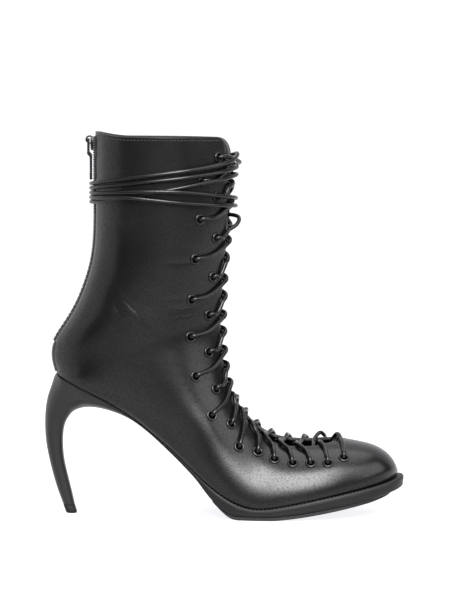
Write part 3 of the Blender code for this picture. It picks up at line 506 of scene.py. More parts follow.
last = {
    "wall": 2.0, "gap": 0.3, "throatToeX": 77.2, "throatRound": 24.0, "cornerLateral": 6.0,
    "cornerMedial": 13.0, "backSquare": 0.82, "frontBlend": 6.0,
    "collarRise": 3.0, "riseHigh": 20.0, "riseLong": 22.0,  # collar drawn up at the back
    # x, z, seat lateral, seat medial, top x, top z, ridge, lateral, medial, belly, peak
    "foot": [
        (111.0, 25.0, 0.0, 0.0, 111.3, 27.2, 0.0, 0.0, 0.0, 0.30, 0.90),
        (108.8, 24.3, 9.5, 9.5, 109.8, 31.2, 0.3, 9.8, 9.8, 0.30, 0.90),
        (103.5, 22.6, 18.0, 17.5, 105.6, 37.2, 0.8, 18.8, 18.2, 0.30, 0.90),
        (95.0, 20.7, 25.5, 24.0, 97.5, 42.6, 1.4, 26.6, 25.0, 0.17, 0.92),
        (82.0, 18.0, 31.8, 29.2, 85.0, 46.0, 2.2, 33.0, 30.4, 0.10, 0.92),
        (68.0, 15.2, 36.0, 33.2, 72.0, 47.8, 3.2, 37.6, 34.8, 0.06, 0.92),
        (50.0, 11.6, 38.6, 36.4, 55.0, 47.4, 4.0, 40.6, 38.4, 0.05, 0.92),
        (34.0, 8.6, 39.0, 37.4, 41.0, 48.2, 4.0, 41.4, 39.6, 0.05, 0.94),
        (18.0, 7.4, 37.8, 36.0, 29.8, 51.6, 3.8, 40.6, 38.6, 0.06, 0.98),
        (4.0, 11.7, 34.6, 32.0, 20.6, 58.0, 3.4, 38.4, 36.0, 0.13, 1.04),
        (-12.0, 22.9, 29.8, 26.4, 12.4, 67.4, 2.8, 35.4, 33.0, 0.24, 1.12),
        (-28.0, 38.2, 26.0, 22.0, 6.4, 77.6, 2.0, 33.0, 31.0, 0.37, 1.26),
        (-46.0, 54.3, 23.8, 20.6, 3.0, 88.4, 1.4, 31.8, 30.4, 0.38, 1.32),
        (-64.0, 67.6, 24.0, 22.4, 1.2, 99.5, 1.0, 31.2, 30.4, 0.40, 1.36),
        (-80.0, 76.6, 25.0, 24.4, 0.4, 109.0, 0.6, 31.0, 30.6, 0.42, 1.38),
        (-93.0, 83.4, 23.6, 23.4, 0.1, 116.5, 0.4, 31.0, 30.8, 0.43, 1.40),
        (-102.0, 87.8, 17.4, 17.4, 0.0, 122.0, 0.2, 31.0, 30.8, 0.44, 1.40),
        (-106.6, 90.4, 9.4, 9.4, 0.0, 126.0, 0.1, 31.0, 30.8, 0.45, 1.40),
        (-108.2, 91.6, 0.0, 0.0, 0.1, 129.5, 0.0, 31.0, 31.0, 0.46, 1.40),
    ],
    # back x, back z, front x, front z, lateral, medial, belly, peak
    "shaft": [
        (-110.2, 100.0, 0.2, 135.0, 31.2, 31.2, 0.48, 1.40),
        (-109.4, 109.0, 0.4, 142.0, 31.4, 31.4, 0.49, 1.40),
        (-103.6, 119.4, 0.7, 150.5, 31.8, 31.8, 0.50, 1.40),
        (-96.2, 131.2, 1.1, 159.0, 32.0, 32.0, 0.50, 1.40),
        (-89.6, 146.0, 2.2, 170.0, 32.2, 32.2, 0.50, 1.40),
        (-84.8, 162.0, 3.6, 182.0, 32.4, 32.4, 0.50, 1.40),
        (-82.6, 182.0, 4.6, 197.0, 32.6, 32.6, 0.50, 1.40),
        (-82.4, 204.0, 5.1, 214.0, 32.8, 32.8, 0.50, 1.40),
        (-82.4, 226.0, 5.4, 229.0, 33.0, 33.0, 0.50, 1.40),
        (-82.4, 242.0, 5.4, 241.0, 33.0, 33.0, 0.50, 1.40),
    ],
    # distance along the throat from its toe end, half gap lateral, half gap medial
    "throat": [
        (0.0, 14.0, 8.0), (24.0, 17.5, 10.5), (45.0, 17.0, 10.5), (70.0, 12.0, 9.0), (95.0, 8.5, 7.5),
        (130.0, 6.0, 6.0), (180.0, 6.0, 5.0), (220.0, 9.0, 5.0), (255.0, 13.0, 5.0),
    ],
}


def mirrored(knots, rows, odd, both=False):  # carries the shape round the toe or heel without a kink
    sign = np.where(odd, -1.0, 1.0)
    rows = np.asarray(rows, float)
    newKnots = np.concatenate([2 * knots[0] - knots[2:0:-1], knots])
    newRows = np.concatenate([rows[2:0:-1] * sign, rows])
    if both:
        newKnots = np.concatenate([newKnots, 2 * knots[-1] - knots[-2:-4:-1]])
        newRows = np.concatenate([newRows, rows[-2:-4:-1] * sign])
    return newKnots, newRows


foot = last["foot"]
shaft = last["shaft"]
baseRows = np.array([r[:3] for r in foot] + [(r[0], r[1], 0.0) for r in shaft])
frontRows = np.array([r[4:6] for r in foot] + [r[2:4] for r in shaft])
knots = 0.5 * (runOf(baseRows) + runOf(frontRows))
heelS = knots[len(foot) - 1]
topS = knots[-1]
girthRows = [r[4:] for r in foot] + [(r[2], r[3], 0.0, *r[4:]) for r in shaft]
girth = splineThrough(*mirrored(knots, girthRows, [False, False, True, True, True, False, False]))
seat = splineThrough(*mirrored(knots[:len(foot)], [r[:4] for r in foot], [False, False, True, True], True))
back = splineThrough(knots[len(foot) - 1:], [foot[-1][:2]] + [r[:2] for r in shaft])
gapLine = splineThrough([r[0] for r in last["throat"]], [r[1:] for r in last["throat"]])
fineS = np.linspace(0.0, topS, 3000)
throatS = float(fineS[np.argmax(girth(fineS)[:, 0] < last["throatToeX"])])
frontS = np.linspace(throatS, topS, 2000)
frontRun = runOf(girth(frontS)[:, :2])
throatLength = float(frontRun[-1])


def stationAlong(along):
    return np.interp(along, frontRun, frontS)


def skin(s, angle, side):  # angle 0 is the front line, pi the back line or bottom edge
    s, angle = np.broadcast_arrays(np.asarray(s, float), np.asarray(angle, float))
    frontX, frontZ, ridge, wideLateral, wideMedial, belly, peak = np.moveaxis(girth(s), -1, 0)
    low = seat(np.minimum(s, heelS))
    high = back(np.maximum(s, heelS))
    onFoot = s <= heelS
    backX = np.where(onFoot, low[..., 0], high[..., 0])
    backZ = np.where(onFoot, low[..., 1], high[..., 1])
    wide = np.maximum(wideLateral if side < 0 else wideMedial, 0.0)
    seatHalf = np.where(onFoot, np.maximum(low[..., 2 if side < 0 else 3], 0.0), 0.0)
    seatHalf = np.minimum(seatHalf, wide)
    sine = np.maximum(np.sin(angle), 0.0)
    cosine = np.cos(angle)
    inFront = angle < math.pi / 2
    share = np.where(inFront, belly + (1.0 - belly) * cosine, belly * (1.0 + cosine))
    yFront = side * wide * sine ** peak + ridge * cosine ** 2
    yBack = side * (seatHalf + (wide - seatHalf) * sine ** last["backSquare"])
    x = backX + (frontX - backX) * share
    z = backZ + (frontZ - backZ) * share
    nearTop = np.clip(1.0 - (topS - s) / last["riseHigh"], 0.0, 1.0)
    nearBack = np.clip(1.0 - (x - backX) / last["riseLong"], 0.0, 1.0)
    z = z + last["collarRise"] * nearTop * nearBack ** 2
    return np.stack([x, np.where(inFront, yFront, yBack), z], -1)


def skinNormal(s, angle, side):
    s = np.asarray(s, float)
    angle = np.clip(angle, 0.06, math.pi)
    stepS, stepAngle = 0.4, 0.01
    along = skin(np.minimum(s + stepS, topS), angle, side) - skin(np.maximum(s - stepS, 0.0), angle, side)
    around = skin(s, np.minimum(angle + stepAngle, math.pi), side) - skin(s, angle - stepAngle, side)
    normal = np.cross(along, around)
    normal = normal / np.maximum(np.linalg.norm(normal, axis=-1, keepdims=True), 1e-9)
    middle = 0.5 * (skin(s, 0.0, side) + skin(s, math.pi, side))
    outward = np.sum(normal * (skin(s, angle, side) - middle), -1, keepdims=True)
    return np.where(outward > 0.0, normal, -normal)


def halfGap(s, side):
    if s <= throatS:
        return 0.0
    along = float(np.interp(s, frontS, frontRun))
    gap = float(gapLine(along)[0 if side < 0 else 1])
    if along < last["throatRound"]:
        gap = gap * math.sqrt(1.0 - (1.0 - along / last["throatRound"]) ** 2)
    left = throatLength - along
    corner = last["cornerLateral"] if side < 0 else last["cornerMedial"]
    if left < corner:
        gap = gap + corner - math.sqrt(corner ** 2 - (corner - left) ** 2)
    return gap


def throatAngle(s, side):
    row = girth(s)
    wide = row[3] if side < 0 else row[4]
    gap = halfGap(s, side)
    return math.asin((gap / wide) ** (1.0 / row[6])) if gap > 0.0 else 0.0


def girthRun(s, side, start=0.0):
    angles = np.linspace(start, math.pi, 160)
    return angles, runOf(skin(s, angles, side))


def edgeRun(s, side):  # round the section from the front line to the flap's edge
    angles, run = girthRun(s, side)
    return float(np.interp(throatAngle(s, side), angles, run))


def frontNormal(s):
    ahead = girth(min(s + 0.5, topS))[:2] - girth(max(s - 0.5, 0.0))[:2]
    ahead = ahead / np.linalg.norm(ahead)
    return np.array([ahead[1], 0.0, -ahead[0]])


def place(along, across, lift):  # on the flaps: up the throat, round from the front line, off the skin
    s = float(stationAlong(along))
    side = lateral if across < 0 else medial
    angles, run = girthRun(s, side)
    angle = float(np.interp(abs(across), run, angles))
    share = min(abs(across) / last["frontBlend"], 1.0)
    out = unit(frontNormal(s) * (1.0 - share) + skinNormal(s, angle, side) * share)
    return skin(s, angle, side) + out * lift


# Upper

upperLook = {
    "footRows": 40, "throatRows": 200, "columns": 84, "toeCrowd": 1.25, "throatCrowd": 1.35,
    "cornerRows": [0.15, 0.5, 1.0, 2.0, 3.2],  # extra rows, distance below the collar
    # leather turned under along the zip: half gap, height, and where it begins, is full and fades out
    "zipHalf": 3.2, "zipRim": 0.35, "zipRise": 1.2, "zipFull": 5.0, "zipFade": 24.0, "zipLowZ": 112.0,
    "zipFrontX": -68.0, "zipEase": 6.0,
    # heel counter smoothed: distance aside, up to, rounds
    "counterFront": -50.0,
    "counter": [(10.5, 122.0, 5), (12.0, 118.0, 6), (13.5, 114.0, 8), (15.0, 110.0, 12)],
    # soft troughs and ridges: side, points (x, z), half width, depth (minus is a trough), lean to one side
    "folds": [
        (lateral, [(-66.2, 143.4), (-58.0, 136.0), (-50.0, 128.6), (-41.0, 114.0)], 4.5, -0.55, 0.2),
        (lateral, [(-65.7, 143.3), (-57.0, 134.2), (-49.2, 124.9)], 1.5, -0.32, 0.4),
        (lateral, [(-70.6, 136.5), (-67.6, 132.6), (-65.0, 128.6)], 1.4, -0.14, 0.3),
        (lateral, [(-71.5, 148.0), (-68.0, 139.0), (-64.5, 128.0), (-60.0, 116.0)], 5.0, -0.4, 0.2),
        (lateral, [(-58.0, 150.0), (-48.0, 142.0), (-36.0, 136.5)], 5.0, -0.3, 0.2),
        (lateral, [(-76.0, 128.0), (-66.0, 112.0), (-56.0, 100.0)], 11.0, -0.5, 0.0),
        (lateral, [(-38.0, 162.4), (-28.0, 162.0), (-18.5, 163.4)], 2.2, -0.25, 0.5),
        (lateral, [(-40.5, 139.6), (-33.0, 138.8), (-26.0, 140.0)], 2.0, -0.22, 0.5),
        (lateral, [(-37.0, 133.6), (-28.0, 132.6), (-18.0, 134.4)], 2.2, -0.25, 0.5),
        (lateral, [(-58.0, 199.5), (-46.0, 195.0), (-34.0, 187.0)], 7.0, -0.3, 0.0),
        (lateral, [(-60.0, 190.0), (-57.0, 175.0), (-55.0, 158.0)], 10.0, -0.5, 0.0),
        (lateral, [(6.0, 46.0), (16.0, 34.0), (22.0, 22.0)], 7.0, -0.2, 0.0),
        (medial, [(-68.0, 146.0), (-56.0, 134.0), (-44.0, 118.0)], 4.0, -0.6, 0.4),
        (medial, [(-66.0, 140.0), (-57.0, 131.0), (-49.0, 121.0)], 1.2, -0.35, 0.8),
        (medial, [(-60.0, 152.0), (-48.0, 143.0), (-36.0, 138.0)], 5.0, -0.4, 0.2),
        (medial, [(-40.0, 160.0), (-30.0, 159.0), (-20.0, 161.0)], 2.4, -0.3, 0.5),
        (medial, [(-76.0, 126.0), (-64.0, 110.0), (-54.0, 98.0)], 11.0, -0.5, 0.0),
        (medial, [(4.0, 46.0), (15.0, 33.0), (22.0, 20.0)], 7.0, -0.25, 0.0),
    ],
    "collarStitch": {
        "pitch": 2.3, "long": 1.7, "wide": 0.5, "high": 0.4, "below": 1.7, "fromEdge": 2.5, "fromZip": 5.5,
    },
    "zipStitch": {
        "pitch": 2.3, "long": 1.7, "wide": 0.5, "high": 0.4, "aside": 6.8, "fromLow": 1.0, "fromTop": 3.0,
    },
    "stitchLift": 0.08,
}


def foldDepth(points, side):  # how far the leather lies off the last
    depth = np.zeros(points.shape[:-1])
    flat = points[..., [0, 2]]
    count = 40  # spots along a fold
    for foldSide, line, half, deep, lean in upperLook["folds"]:
        if foldSide != side:
            continue
        fine = splineThrough(np.arange(len(line)), line)(np.linspace(0.0, len(line) - 1.0, count))
        gaps = flat[..., None, :] - fine
        spread = np.linalg.norm(gaps, axis=-1)
        nearest = np.argmin(spread, axis=-1)
        far = np.min(spread, axis=-1)
        ahead = unit(np.gradient(fine, axis=0))[nearest]
        gap = np.take_along_axis(gaps, nearest[..., None, None], axis=-2)[..., 0, :]
        aside = ahead[..., 0] * gap[..., 1] - ahead[..., 1] * gap[..., 0]
        fade = np.sin(math.pi * (nearest + 1.0) / (count + 1.0)) ** 0.7
        trough = np.exp(-(far / half) ** 2)
        ridge = np.exp(-((aside - 1.7 * half) / half) ** 2) * np.exp(-(far / (3.0 * half)) ** 4)
        depth += deep * fade * (trough - lean * ridge)
    return depth


def zipRelief(points):  # leather turned under along both edges of the zip
    look = upperLook
    aside = np.abs(points[..., 1])
    onBack = np.clip((look["zipFrontX"] - points[..., 0]) / look["zipEase"], 0.0, 1.0)
    above = np.clip((points[..., 2] - look["zipLowZ"]) / look["zipEase"] + 0.5, 0.0, 1.0)
    rise = np.clip((aside - look["zipHalf"]) / look["zipRise"], 0.0, 1.0)
    fall = np.clip((look["zipFade"] - aside) / (look["zipFade"] - look["zipFull"]), 0.0, 1.0)
    return look["zipRim"] * rise * fall * fall * (3.0 - 2.0 * fall) * onBack * above


def dressedSkin(s, angle, side):
    points = skin(s, angle, side)
    lift = foldDepth(points, side) + zipRelief(points)
    return points + skinNormal(s, angle, side) * lift[..., None]


def upperStations():
    toe = throatS * np.linspace(0.0, 1.0, upperLook["footRows"]) ** upperLook["toeCrowd"]
    along = throatLength * np.linspace(0.0, 1.0, upperLook["throatRows"]) ** upperLook["throatCrowd"]
    corner = throatLength - np.array(upperLook["cornerRows"])
    return np.unique(np.concatenate([toe, stationAlong(along), stationAlong(corner)]))


def softenCounter(mesh):
    build = bmesh.new()
    build.from_mesh(mesh)
    x, y, z = (np.array([vert.co for vert in build.verts]) / mm - shift).T
    for aside, high, rounds in upperLook["counter"]:
        inside = (x < upperLook["counterFront"]) & (np.abs(y) > aside) & (z < high)
        counter = [vert for vert, near in zip(build.verts, inside) if near and not vert.is_boundary]
        axes = {f"use_axis_{axis}": True for axis in "xyz"}
        for _ in range(rounds):
            bmesh.ops.smooth_vert(build, verts=counter, factor=0.5, **axes)
    build.to_mesh(mesh)
    build.free()


def makeUpper():
    stations = upperStations()
    columns = upperLook["columns"] + 1
    heap = Heap()
    for side in (lateral, medial):
        rows = []
        for s in stations:
            angles, run = girthRun(s, side, throatAngle(s, side))
            even = np.interp(np.linspace(0.0, run[-1], columns), run, angles)
            rows.append(dressedSkin(np.full(columns, s), even, side))
        heap.add((np.reshape(rows, (-1, 3)), gridFaces(len(rows), columns)))
    finishes = [leather, lining, cutEdge]
    upper = meshPiece("upper_leather", heap, finishes, ["upper"], weld=0.02)
    softenCounter(upper.data)
    wall = upper.modifiers.new("wall", "SOLIDIFY")
    wall.thickness = last["wall"] * mm
    wall.offset = -1.0
    wall.use_rim = True
    wall.use_quality_normals = True
    wall.material_offset = 1
    wall.material_offset_rim = 2
    return upper


upper = makeUpper()
print("upper:", len(upper.data.vertices), "points")


# Eyelets

eyeletLook = {
    "turns": 28, "holeRadius": 2.3, "holeFrom": -4.0, "holeTo": 2.0,
    # distance along the throat from its toe end, distance behind the flap's edge; collar to toe
    "places": [
        (236.1, 8.0), (223.1, 22.8), (212.4, 11.6), (200.4, 26.0), (186.6, 12.1), (177.0, 28.0),
        (162.0, 11.2), (152.0, 27.0), (138.6, 12.0), (129.0, 26.0), (115.9, 13.5), (106.5, 27.2),
        (94.5, 15.1), (86.1, 27.6), (75.3, 18.0), (65.5, 24.5), (54.0, 17.1), (43.3, 16.5),
        (32.4, 17.9), (21.2, 18.7), (10.4, 23.0), (0.7, 26.8),
    ],
    # radius and height round the rolled rim and down the barrel
    "profile": [
        (3.55, -0.15), (3.6, 0.3), (3.42, 0.68), (3.05, 0.9), (2.65, 0.88), (2.32, 0.66), (2.14, 0.25),
        (2.1, -0.6), (2.1, -2.3), (2.3, -2.3), (2.45, -0.2),
    ],
}


def eyeletAcross(number, side):  # numbers run from 1 at the collar
    along, inset = eyeletLook["places"][number - 1]
    return along, side * (edgeRun(float(stationAlong(along)), side) + inset)


def makeEyelets(side, word):
    heap = Heap()
    cutters = Heap()
    numbers = range(1, len(eyeletLook["places"]) + 1)
    for number in numbers:
        along, across = eyeletAcross(number, side)
        centre = place(along, across, 0.0)
        out = unit(place(along, across, 1.0) - centre)
        u = unit(np.cross(out, (0.0, 0.0, 1.0)))
        circle = ring(u, np.cross(out, u), eyeletLook["turns"])
        loops = [centre + out * high + radius * circle for radius, high in eyeletLook["profile"]]
        heap.add(tubeBody(loops + loops[:1], ends=False))
        hole = centre + eyeletLook["holeRadius"] * circle[::2]
        cutters.add(tubeBody([hole + out * eyeletLook[end] for end in ("holeFrom", "holeTo")]))
    nodes = [f"eyelet_{word}_{number:02d}" for number in numbers]
    meshPiece(f"eyelets_{word}", heap, [enamel], nodes)
    return cutters


def cutHoles(piece, heap, name):
    cutter = meshPiece(name, heap, [enamel])
    hole = piece.modifiers.new(name, "BOOLEAN")
    hole.operation = "DIFFERENCE"
    hole.solver = "EXACT"
    hole.object = cutter
    cutter.hide_render = True
    cutter.hide_viewport = True


for side, word in ((lateral, "lat"), (medial, "med")):
    cutHoles(upper, makeEyelets(side, word), f"holes_{word}")
print("eyelets set")


# Lace

laceLook = {
    "radius": 1.3, "sides": 10, "step": 0.9,
    "inHole": -3.4, "under": -4.1, "handOver": -1.2,  # heights in a hole, under a flap, at the wound ends
    "toeAlong": 2.0, "toeAcross": (-16.0, -8.0, 0.0, 7.0, 14.0), "toeHeight": -5.6,  # middle of the lace
    # where the cord leaves its flap and crosses the middle, as shares of the rise to the next eyelet,
    # and its height over the last there: between edge and middle, at the middle
    "shaft": {lateral: (0.45, 0.72, 1.3, -0.3), medial: (0.40, 0.72, -0.4, -3.2)},
    "vamp": {lateral: (0.80, 0.95, -0.8, -4.6), medial: (0.40, 0.58, 0.6, -1.8)},
    "loose": {
        (5, lateral): (0.25, 0.78, 4.4, 4.4), (21, lateral): (0.48, 0.74, -0.8, -4.6),
        (21, medial): (0.25, 0.85, 3.0, -0.6), (22, lateral): (0.25, 0.50, 2.6, 2.4),
    },
    "shaftTo": 14,
    "bow": {"shaft": (-0.1, 0.28), "vamp": (0.22, 0.52)},  # share of that way at two places over the flap
}


def crossing(number, own):  # out of one eyelet, over its flap, under the other flap to the next eyelet
    low, start = eyeletAcross(number, own)
    high, end = eyeletAcross(number - 1, -own)
    rise = high - low
    inset = eyeletLook["places"][number - 1][1]
    farInset = eyeletLook["places"][number - 2][1]
    kind = "shaft" if number <= laceLook["shaftTo"] else "vamp"
    usual = laceLook[kind][own]
    bow = laceLook["bow"][kind]
    leave, middle, between, over = laceLook["loose"].get((number, own), usual)
    edge = edgeRun(float(stationAlong(low + leave * rise)), own)
    left = 1.0 - middle
    farEdge = edgeRun(float(stationAlong(low + (middle + 0.7 * left) * rise)), -own)
    under = laceLook["under"]
    keys = [
        (0.0, start, laceLook["inHole"]),  # up through the hole
        (0.0, start, -0.9),
        (0.02, start - own * 0.15, 0.9),
        (0.08 * leave, start - own * 2.0, 2.2),  # over the rim
        (bow[0] * leave, own * (edge + 0.62 * inset), 1.7),  # along the flap
        (bow[1] * leave, own * (edge + 0.3 * inset), 1.6),
        (leave, own * (edge + 0.6), 1.7),  # over the flap's edge
        (leave + 0.4 * (middle - leave), own * edge * 0.55, between),
        (middle, 0.0, over),  # middle of the throat
        (middle + 0.45 * left, -own * farEdge * 0.6, 0.42 * over + 0.58 * under),
        (middle + 0.72 * left, -own * (farEdge + 0.8), under),  # under the other flap
        (middle + 0.88 * left, -own * (farEdge + 0.5 * farInset), under - 0.2),
        (0.99, end + own * 2.6, under - 0.5),  # below the next hole
    ]
    return [place(low + share * rise, across, lift) for share, across, lift in keys]


def strandPath(firstSide):
    keys = []
    side = firstSide
    for number in range(len(eyeletLook["places"]), 1, -1):
        keys += crossing(number, side)
        side = -side
    return keys + [place(*eyeletAcross(1, side), laceLook[end]) for end in ("inHole", "handOver")]


def toePath():
    number = len(eyeletLook["places"])
    first, end = (place(*eyeletAcross(number, side), laceLook["inHole"]) for side in (lateral, medial))
    along, high = laceLook["toeAlong"], laceLook["toeHeight"]
    return [first, *(place(along, across, high) for across in laceLook["toeAcross"]), end]


def makeLace():
    heap = Heap()
    for keys in (strandPath(lateral), strandPath(medial), toePath()):
        heap.add(sweep(smoothPath(keys, laceLook["step"]), laceLook["radius"], laceLook["sides"]))
    return meshPiece("lace", heap, [cordLeather], ["lace_crossings"])


lace = makeLace()
print("lace:", len(lace.data.polygons), "faces")


# Wound ends of the lace

wrapLook = {
    "points": 260, "spots": 420, "every": 4, "step": 0.5,  # of the finished cord, and of the path behind it
    "frontAngle": 0.35,  # the cord goes straight over the open throat within this angle
    "overRim": (0.6, 3.2, 2.4),  # from the top eyelet: up, towards the front, off the skin
    # turns from the front by the outer side, height, distance of the cord's middle from the skin
    "lace_wrap_a": [
        (0.03, 227.0, 2.6), (-0.05, 224.0, 5.2), (-0.12, 220.4, 5.4), (-0.22, 215.4, 4.6),
        (-0.30, 212.0, 4.2), (-0.40, 208.0, 3.2), (-0.46, 206.1, 2.8), (-0.50, 206.0, 3.2),
        (-0.58, 206.2, 2.6), (-0.66, 207.0, 3.8), (-0.75, 207.8, 4.3), (-0.84, 206.0, 3.4),
        (-0.94, 203.4, 3.4), (-1.00, 202.4, 2.4), (-1.08, 202.0, 3.4), (-1.25, 202.6, 1.6),
        (-1.42, 203.0, 1.8), (-1.50, 203.1, 3.2), (-1.58, 203.4, 3.2), (-1.67, 203.8, 4.3),
        (-1.78, 200.8, 2.4), (-1.90, 198.4, 3.0), (-2.00, 197.6, 2.4), (-2.08, 197.6, 3.2),
        (-2.18, 197.8, 1.6), (-2.28, 198.0, 1.5),
    ],
    "lace_wrap_b": [
        (-0.03, 232.0, 2.6), (0.03, 229.4, 3.0), (0.10, 225.0, 3.6), (0.25, 218.8, 1.6), (0.42, 213.4, 1.8),
        (0.50, 211.8, 3.2), (0.58, 212.6, 1.8), (0.78, 218.2, 1.6), (0.90, 221.4, 2.6), (1.00, 222.4, 2.4),
        (1.10, 220.0, 3.4), (1.25, 214.8, 1.6), (1.42, 210.2, 1.8), (1.50, 208.9, 3.2), (1.58, 209.6, 1.8),
        (1.75, 214.0, 1.6), (1.88, 216.8, 2.6), (2.00, 217.6, 2.4), (2.10, 215.2, 3.4), (2.17, 212.2, 2.6),
        (2.25, 208.0, 1.5), (2.34, 204.0, 1.5), (2.43, 201.0, 1.8), (2.50, 200.2, 3.2), (2.57, 200.2, 1.8),
        (2.65, 200.2, 1.5),
    ],
}


def shaftPoint(turns, z, lift):
    part = turns % 1.0
    side = lateral if part <= 0.5 else medial
    angle = 2.0 * math.pi * (part if side < 0 else 1.0 - part)
    fine = np.linspace(heelS, topS, 260)
    s = float(np.interp(z, skin(fine, angle, side)[:, 2], fine))
    out = skinNormal(s, min(max(angle, 0.05), math.pi - 0.01), side)
    share = min(angle / wrapLook["frontAngle"], 1.0)
    out = np.array([1.0, 0.0, 0.0]) * (1.0 - share) + out * share
    return skin(s, angle, side) + unit(out * (1.0, 1.0, 0.0)) * lift


def wrapPath(name, side):
    rows = wrapLook[name]
    line = splineThrough(np.arange(len(rows)), rows)(np.linspace(0.0, len(rows) - 1.0, wrapLook["spots"]))
    wound = [shaftPoint(*row) for row in line[2 * wrapLook["every"]::wrapLook["every"]]]
    along, across = eyeletAcross(1, side)
    up, ahead, off = wrapLook["overRim"]
    start = [place(along, across, lift) for lift in (laceLook["handOver"], 0.8)]
    start.append(place(along + up, across - side * ahead, off))
    return evenly(smoothPath(np.concatenate([start, wound]), wrapLook["step"]), wrapLook["points"])


def makeWrap(name, side):
    curve = bpy.data.curves.new(name, "CURVE")
    curve.dimensions = "3D"
    curve.bevel_depth = laceLook["radius"] * mm
    curve.bevel_resolution = 3
    curve.use_fill_caps = True
    metres = (wrapPath(name, side) + shift) * mm
    spline = curve.splines.new("POLY")
    spline.points.add(len(metres) - 1)
    spline.points.foreach_set("co", np.column_stack([metres, np.ones(len(metres))]).ravel())
    curve.materials.append(cordLeather)
    cord = newObject(f"{name}_cord", curve)
    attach(cord, "boot")
    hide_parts(name)


makeWrap("lace_wrap_a", lateral)
makeWrap("lace_wrap_b", medial)


# Sole, tread and insole

soleLook = {
    "rows": 150, "treadRows": 90, "insoleRows": 90,
    "floorFrom": 8.0, "floorTo": 30.0, "treadToeX": 107.0, "toeSpring": 13.2, "toePower": 1.33,
    "treadThick": 2.2, "treadRearX": -8.0, "treadFullX": 4.0, "treadBlend": 6.0, "weltStep": 0.35,
    "insoleThick": 2.0, "insoleInset": 1.7, "insoleShort": 4.0,
    # x, sole's margin beyond the upper, tread's margin
    "margins": [
        (-110.0, -1.1, 0.0), (-56.0, -1.0, 0.0), (-40.0, -0.4, 0.0), (-22.0, 0.4, -0.6), (-6.0, 1.8, 0.4),
        (8.0, 2.6, 1.2), (60.0, 2.8, 1.3), (92.0, 3.3, 0.6), (104.0, 3.8, -2.2), (111.0, 4.0, -4.0),
    ],
    # tread's edge and the groove under it: margin added, share of its thickness
    "treadProfile": [
        (0.0, 1.0), (0.0, 0.35), (-0.15, 0.12), (-0.5, 0.0), (-4.5, 0.0), (-4.9, 0.25), (-5.7, 0.25),
        (-6.1, 0.0),
    ],
    # x, underside behind the tread
    "waist": [
        (-108.2, 89.3), (-80.0, 74.4), (-64.0, 65.4), (-47.0, 52.7), (-39.0, 45.4), (-24.0, 30.7),
        (-17.0, 22.9), (-9.0, 12.2), (-5.3, 8.2), (-1.6, 4.6), (1.5, 2.1), (4.0, 0.8), (8.0, 0.0),
    ],
    "stitch": {
        "pitch": 2.5, "long": 1.7, "wide": 0.55, "high": 0.5, "inset": 1.0, "fromX": -14.0, "lift": 0.1,
    },
}
waistLine = splineThrough([r[0] for r in soleLook["waist"]], [[r[1]] for r in soleLook["waist"]])


def stationAtX(x):
    fine = np.linspace(0.0, heelS, 2000)
    return float(np.interp(-x, -seat(fine)[:, 0], fine))


def outline(s, margin, side):  # edge of the last's bottom, moved out in plan
    after = seat(min(s + 0.3, heelS))
    before = seat(max(s - 0.3, 0.0))
    column = 2 if side < 0 else 3
    ahead = np.array([after[0] - before[0], side * (after[column] - before[column])])
    if s <= 0.0 or s >= heelS:
        ahead = np.array([0.0, side * (1.0 if s <= 0.0 else -1.0)])
    ahead = unit(ahead)
    here = seat(s)
    edge = np.array([here[0], side * max(here[column], 0.0)])
    return edge + np.array([ahead[1], -ahead[0]]) * side * margin


def groundLine(x):
    if x < soleLook["floorFrom"]:
        return max(float(waistLine(x)[0]), 0.0)
    rise = max((x - soleLook["floorTo"]) / (soleLook["treadToeX"] - soleLook["floorTo"]), 0.0)
    return soleLook["toeSpring"] * rise ** soleLook["toePower"]


def treadThick(x):
    share = (x - soleLook["treadRearX"]) / (soleLook["treadFullX"] - soleLook["treadRearX"])
    return soleLook["treadThick"] * min(max(share, 0.15), 1.0)


def soleUnder(x):
    over = min(max((x - soleLook["treadRearX"]) / soleLook["treadBlend"] + 1.0, 0.0), 1.0)
    return groundLine(x) + over * (treadThick(x) + last["gap"])


def margin(x, column):
    rows = soleLook["margins"]
    return float(np.interp(x, [r[0] for r in rows], [r[column] for r in rows]))


def layeredBody(stations, levels):  # levels(s) gives (margin, height or rule of x), top to bottom
    loops = []
    for level in range(len(levels(stations[0]))):
        loop = []
        for side, order in ((lateral, stations), (medial, stations[::-1])):
            for s in order:
                out, z = levels(s)[level]
                spot = outline(s, out, side)
                loop.append((*spot, z(spot[0]) if callable(z) else z))
        loops.append(loop)
    points, faces = tubeBody(loops, ends=False)
    count = len(stations)
    ring = 2 * count
    for start in (0, (len(loops) - 1) * ring):
        for i in range(count - 1):
            faces.append([start + i, start + i + 1, start + ring - 2 - i, start + ring - 1 - i])
    return points, faces


def toeToHeel(first, end, count):
    return list(first + (end - first) * (0.5 - 0.5 * np.cos(math.pi * np.linspace(0.0, 1.0, count))))


def soleLevels(s):  # top, rounded edge, welt, step under it, lower edge
    x, z = seat(s)[:2]
    out = margin(x, 1)
    top = z - last["gap"]
    deep = top - soleUnder(x)
    full = min(deep / 5.0, 1.0)
    step = soleLook["weltStep"] * full

    def down(share):
        return lambda at: top + (soleUnder(at) - top) * share

    return [
        (out - 1.6, top), (out - 0.8 * full, top), (out - 0.3 * full, down(0.05)), (out, down(0.16)),
        (out, down(0.40)), (out - step, down(0.44)), (out - step, down(0.80)),
        (out - step - 0.05 * deep, down(0.93)), (out - step - 0.16 * deep, down(1.0)),
    ]


def treadLevels(s):
    out = margin(seat(s)[0], 2)

    def up(share):
        return lambda x: groundLine(x) + share * treadThick(x)

    return [(out + aside, up(share)) for aside, share in soleLook["treadProfile"]]


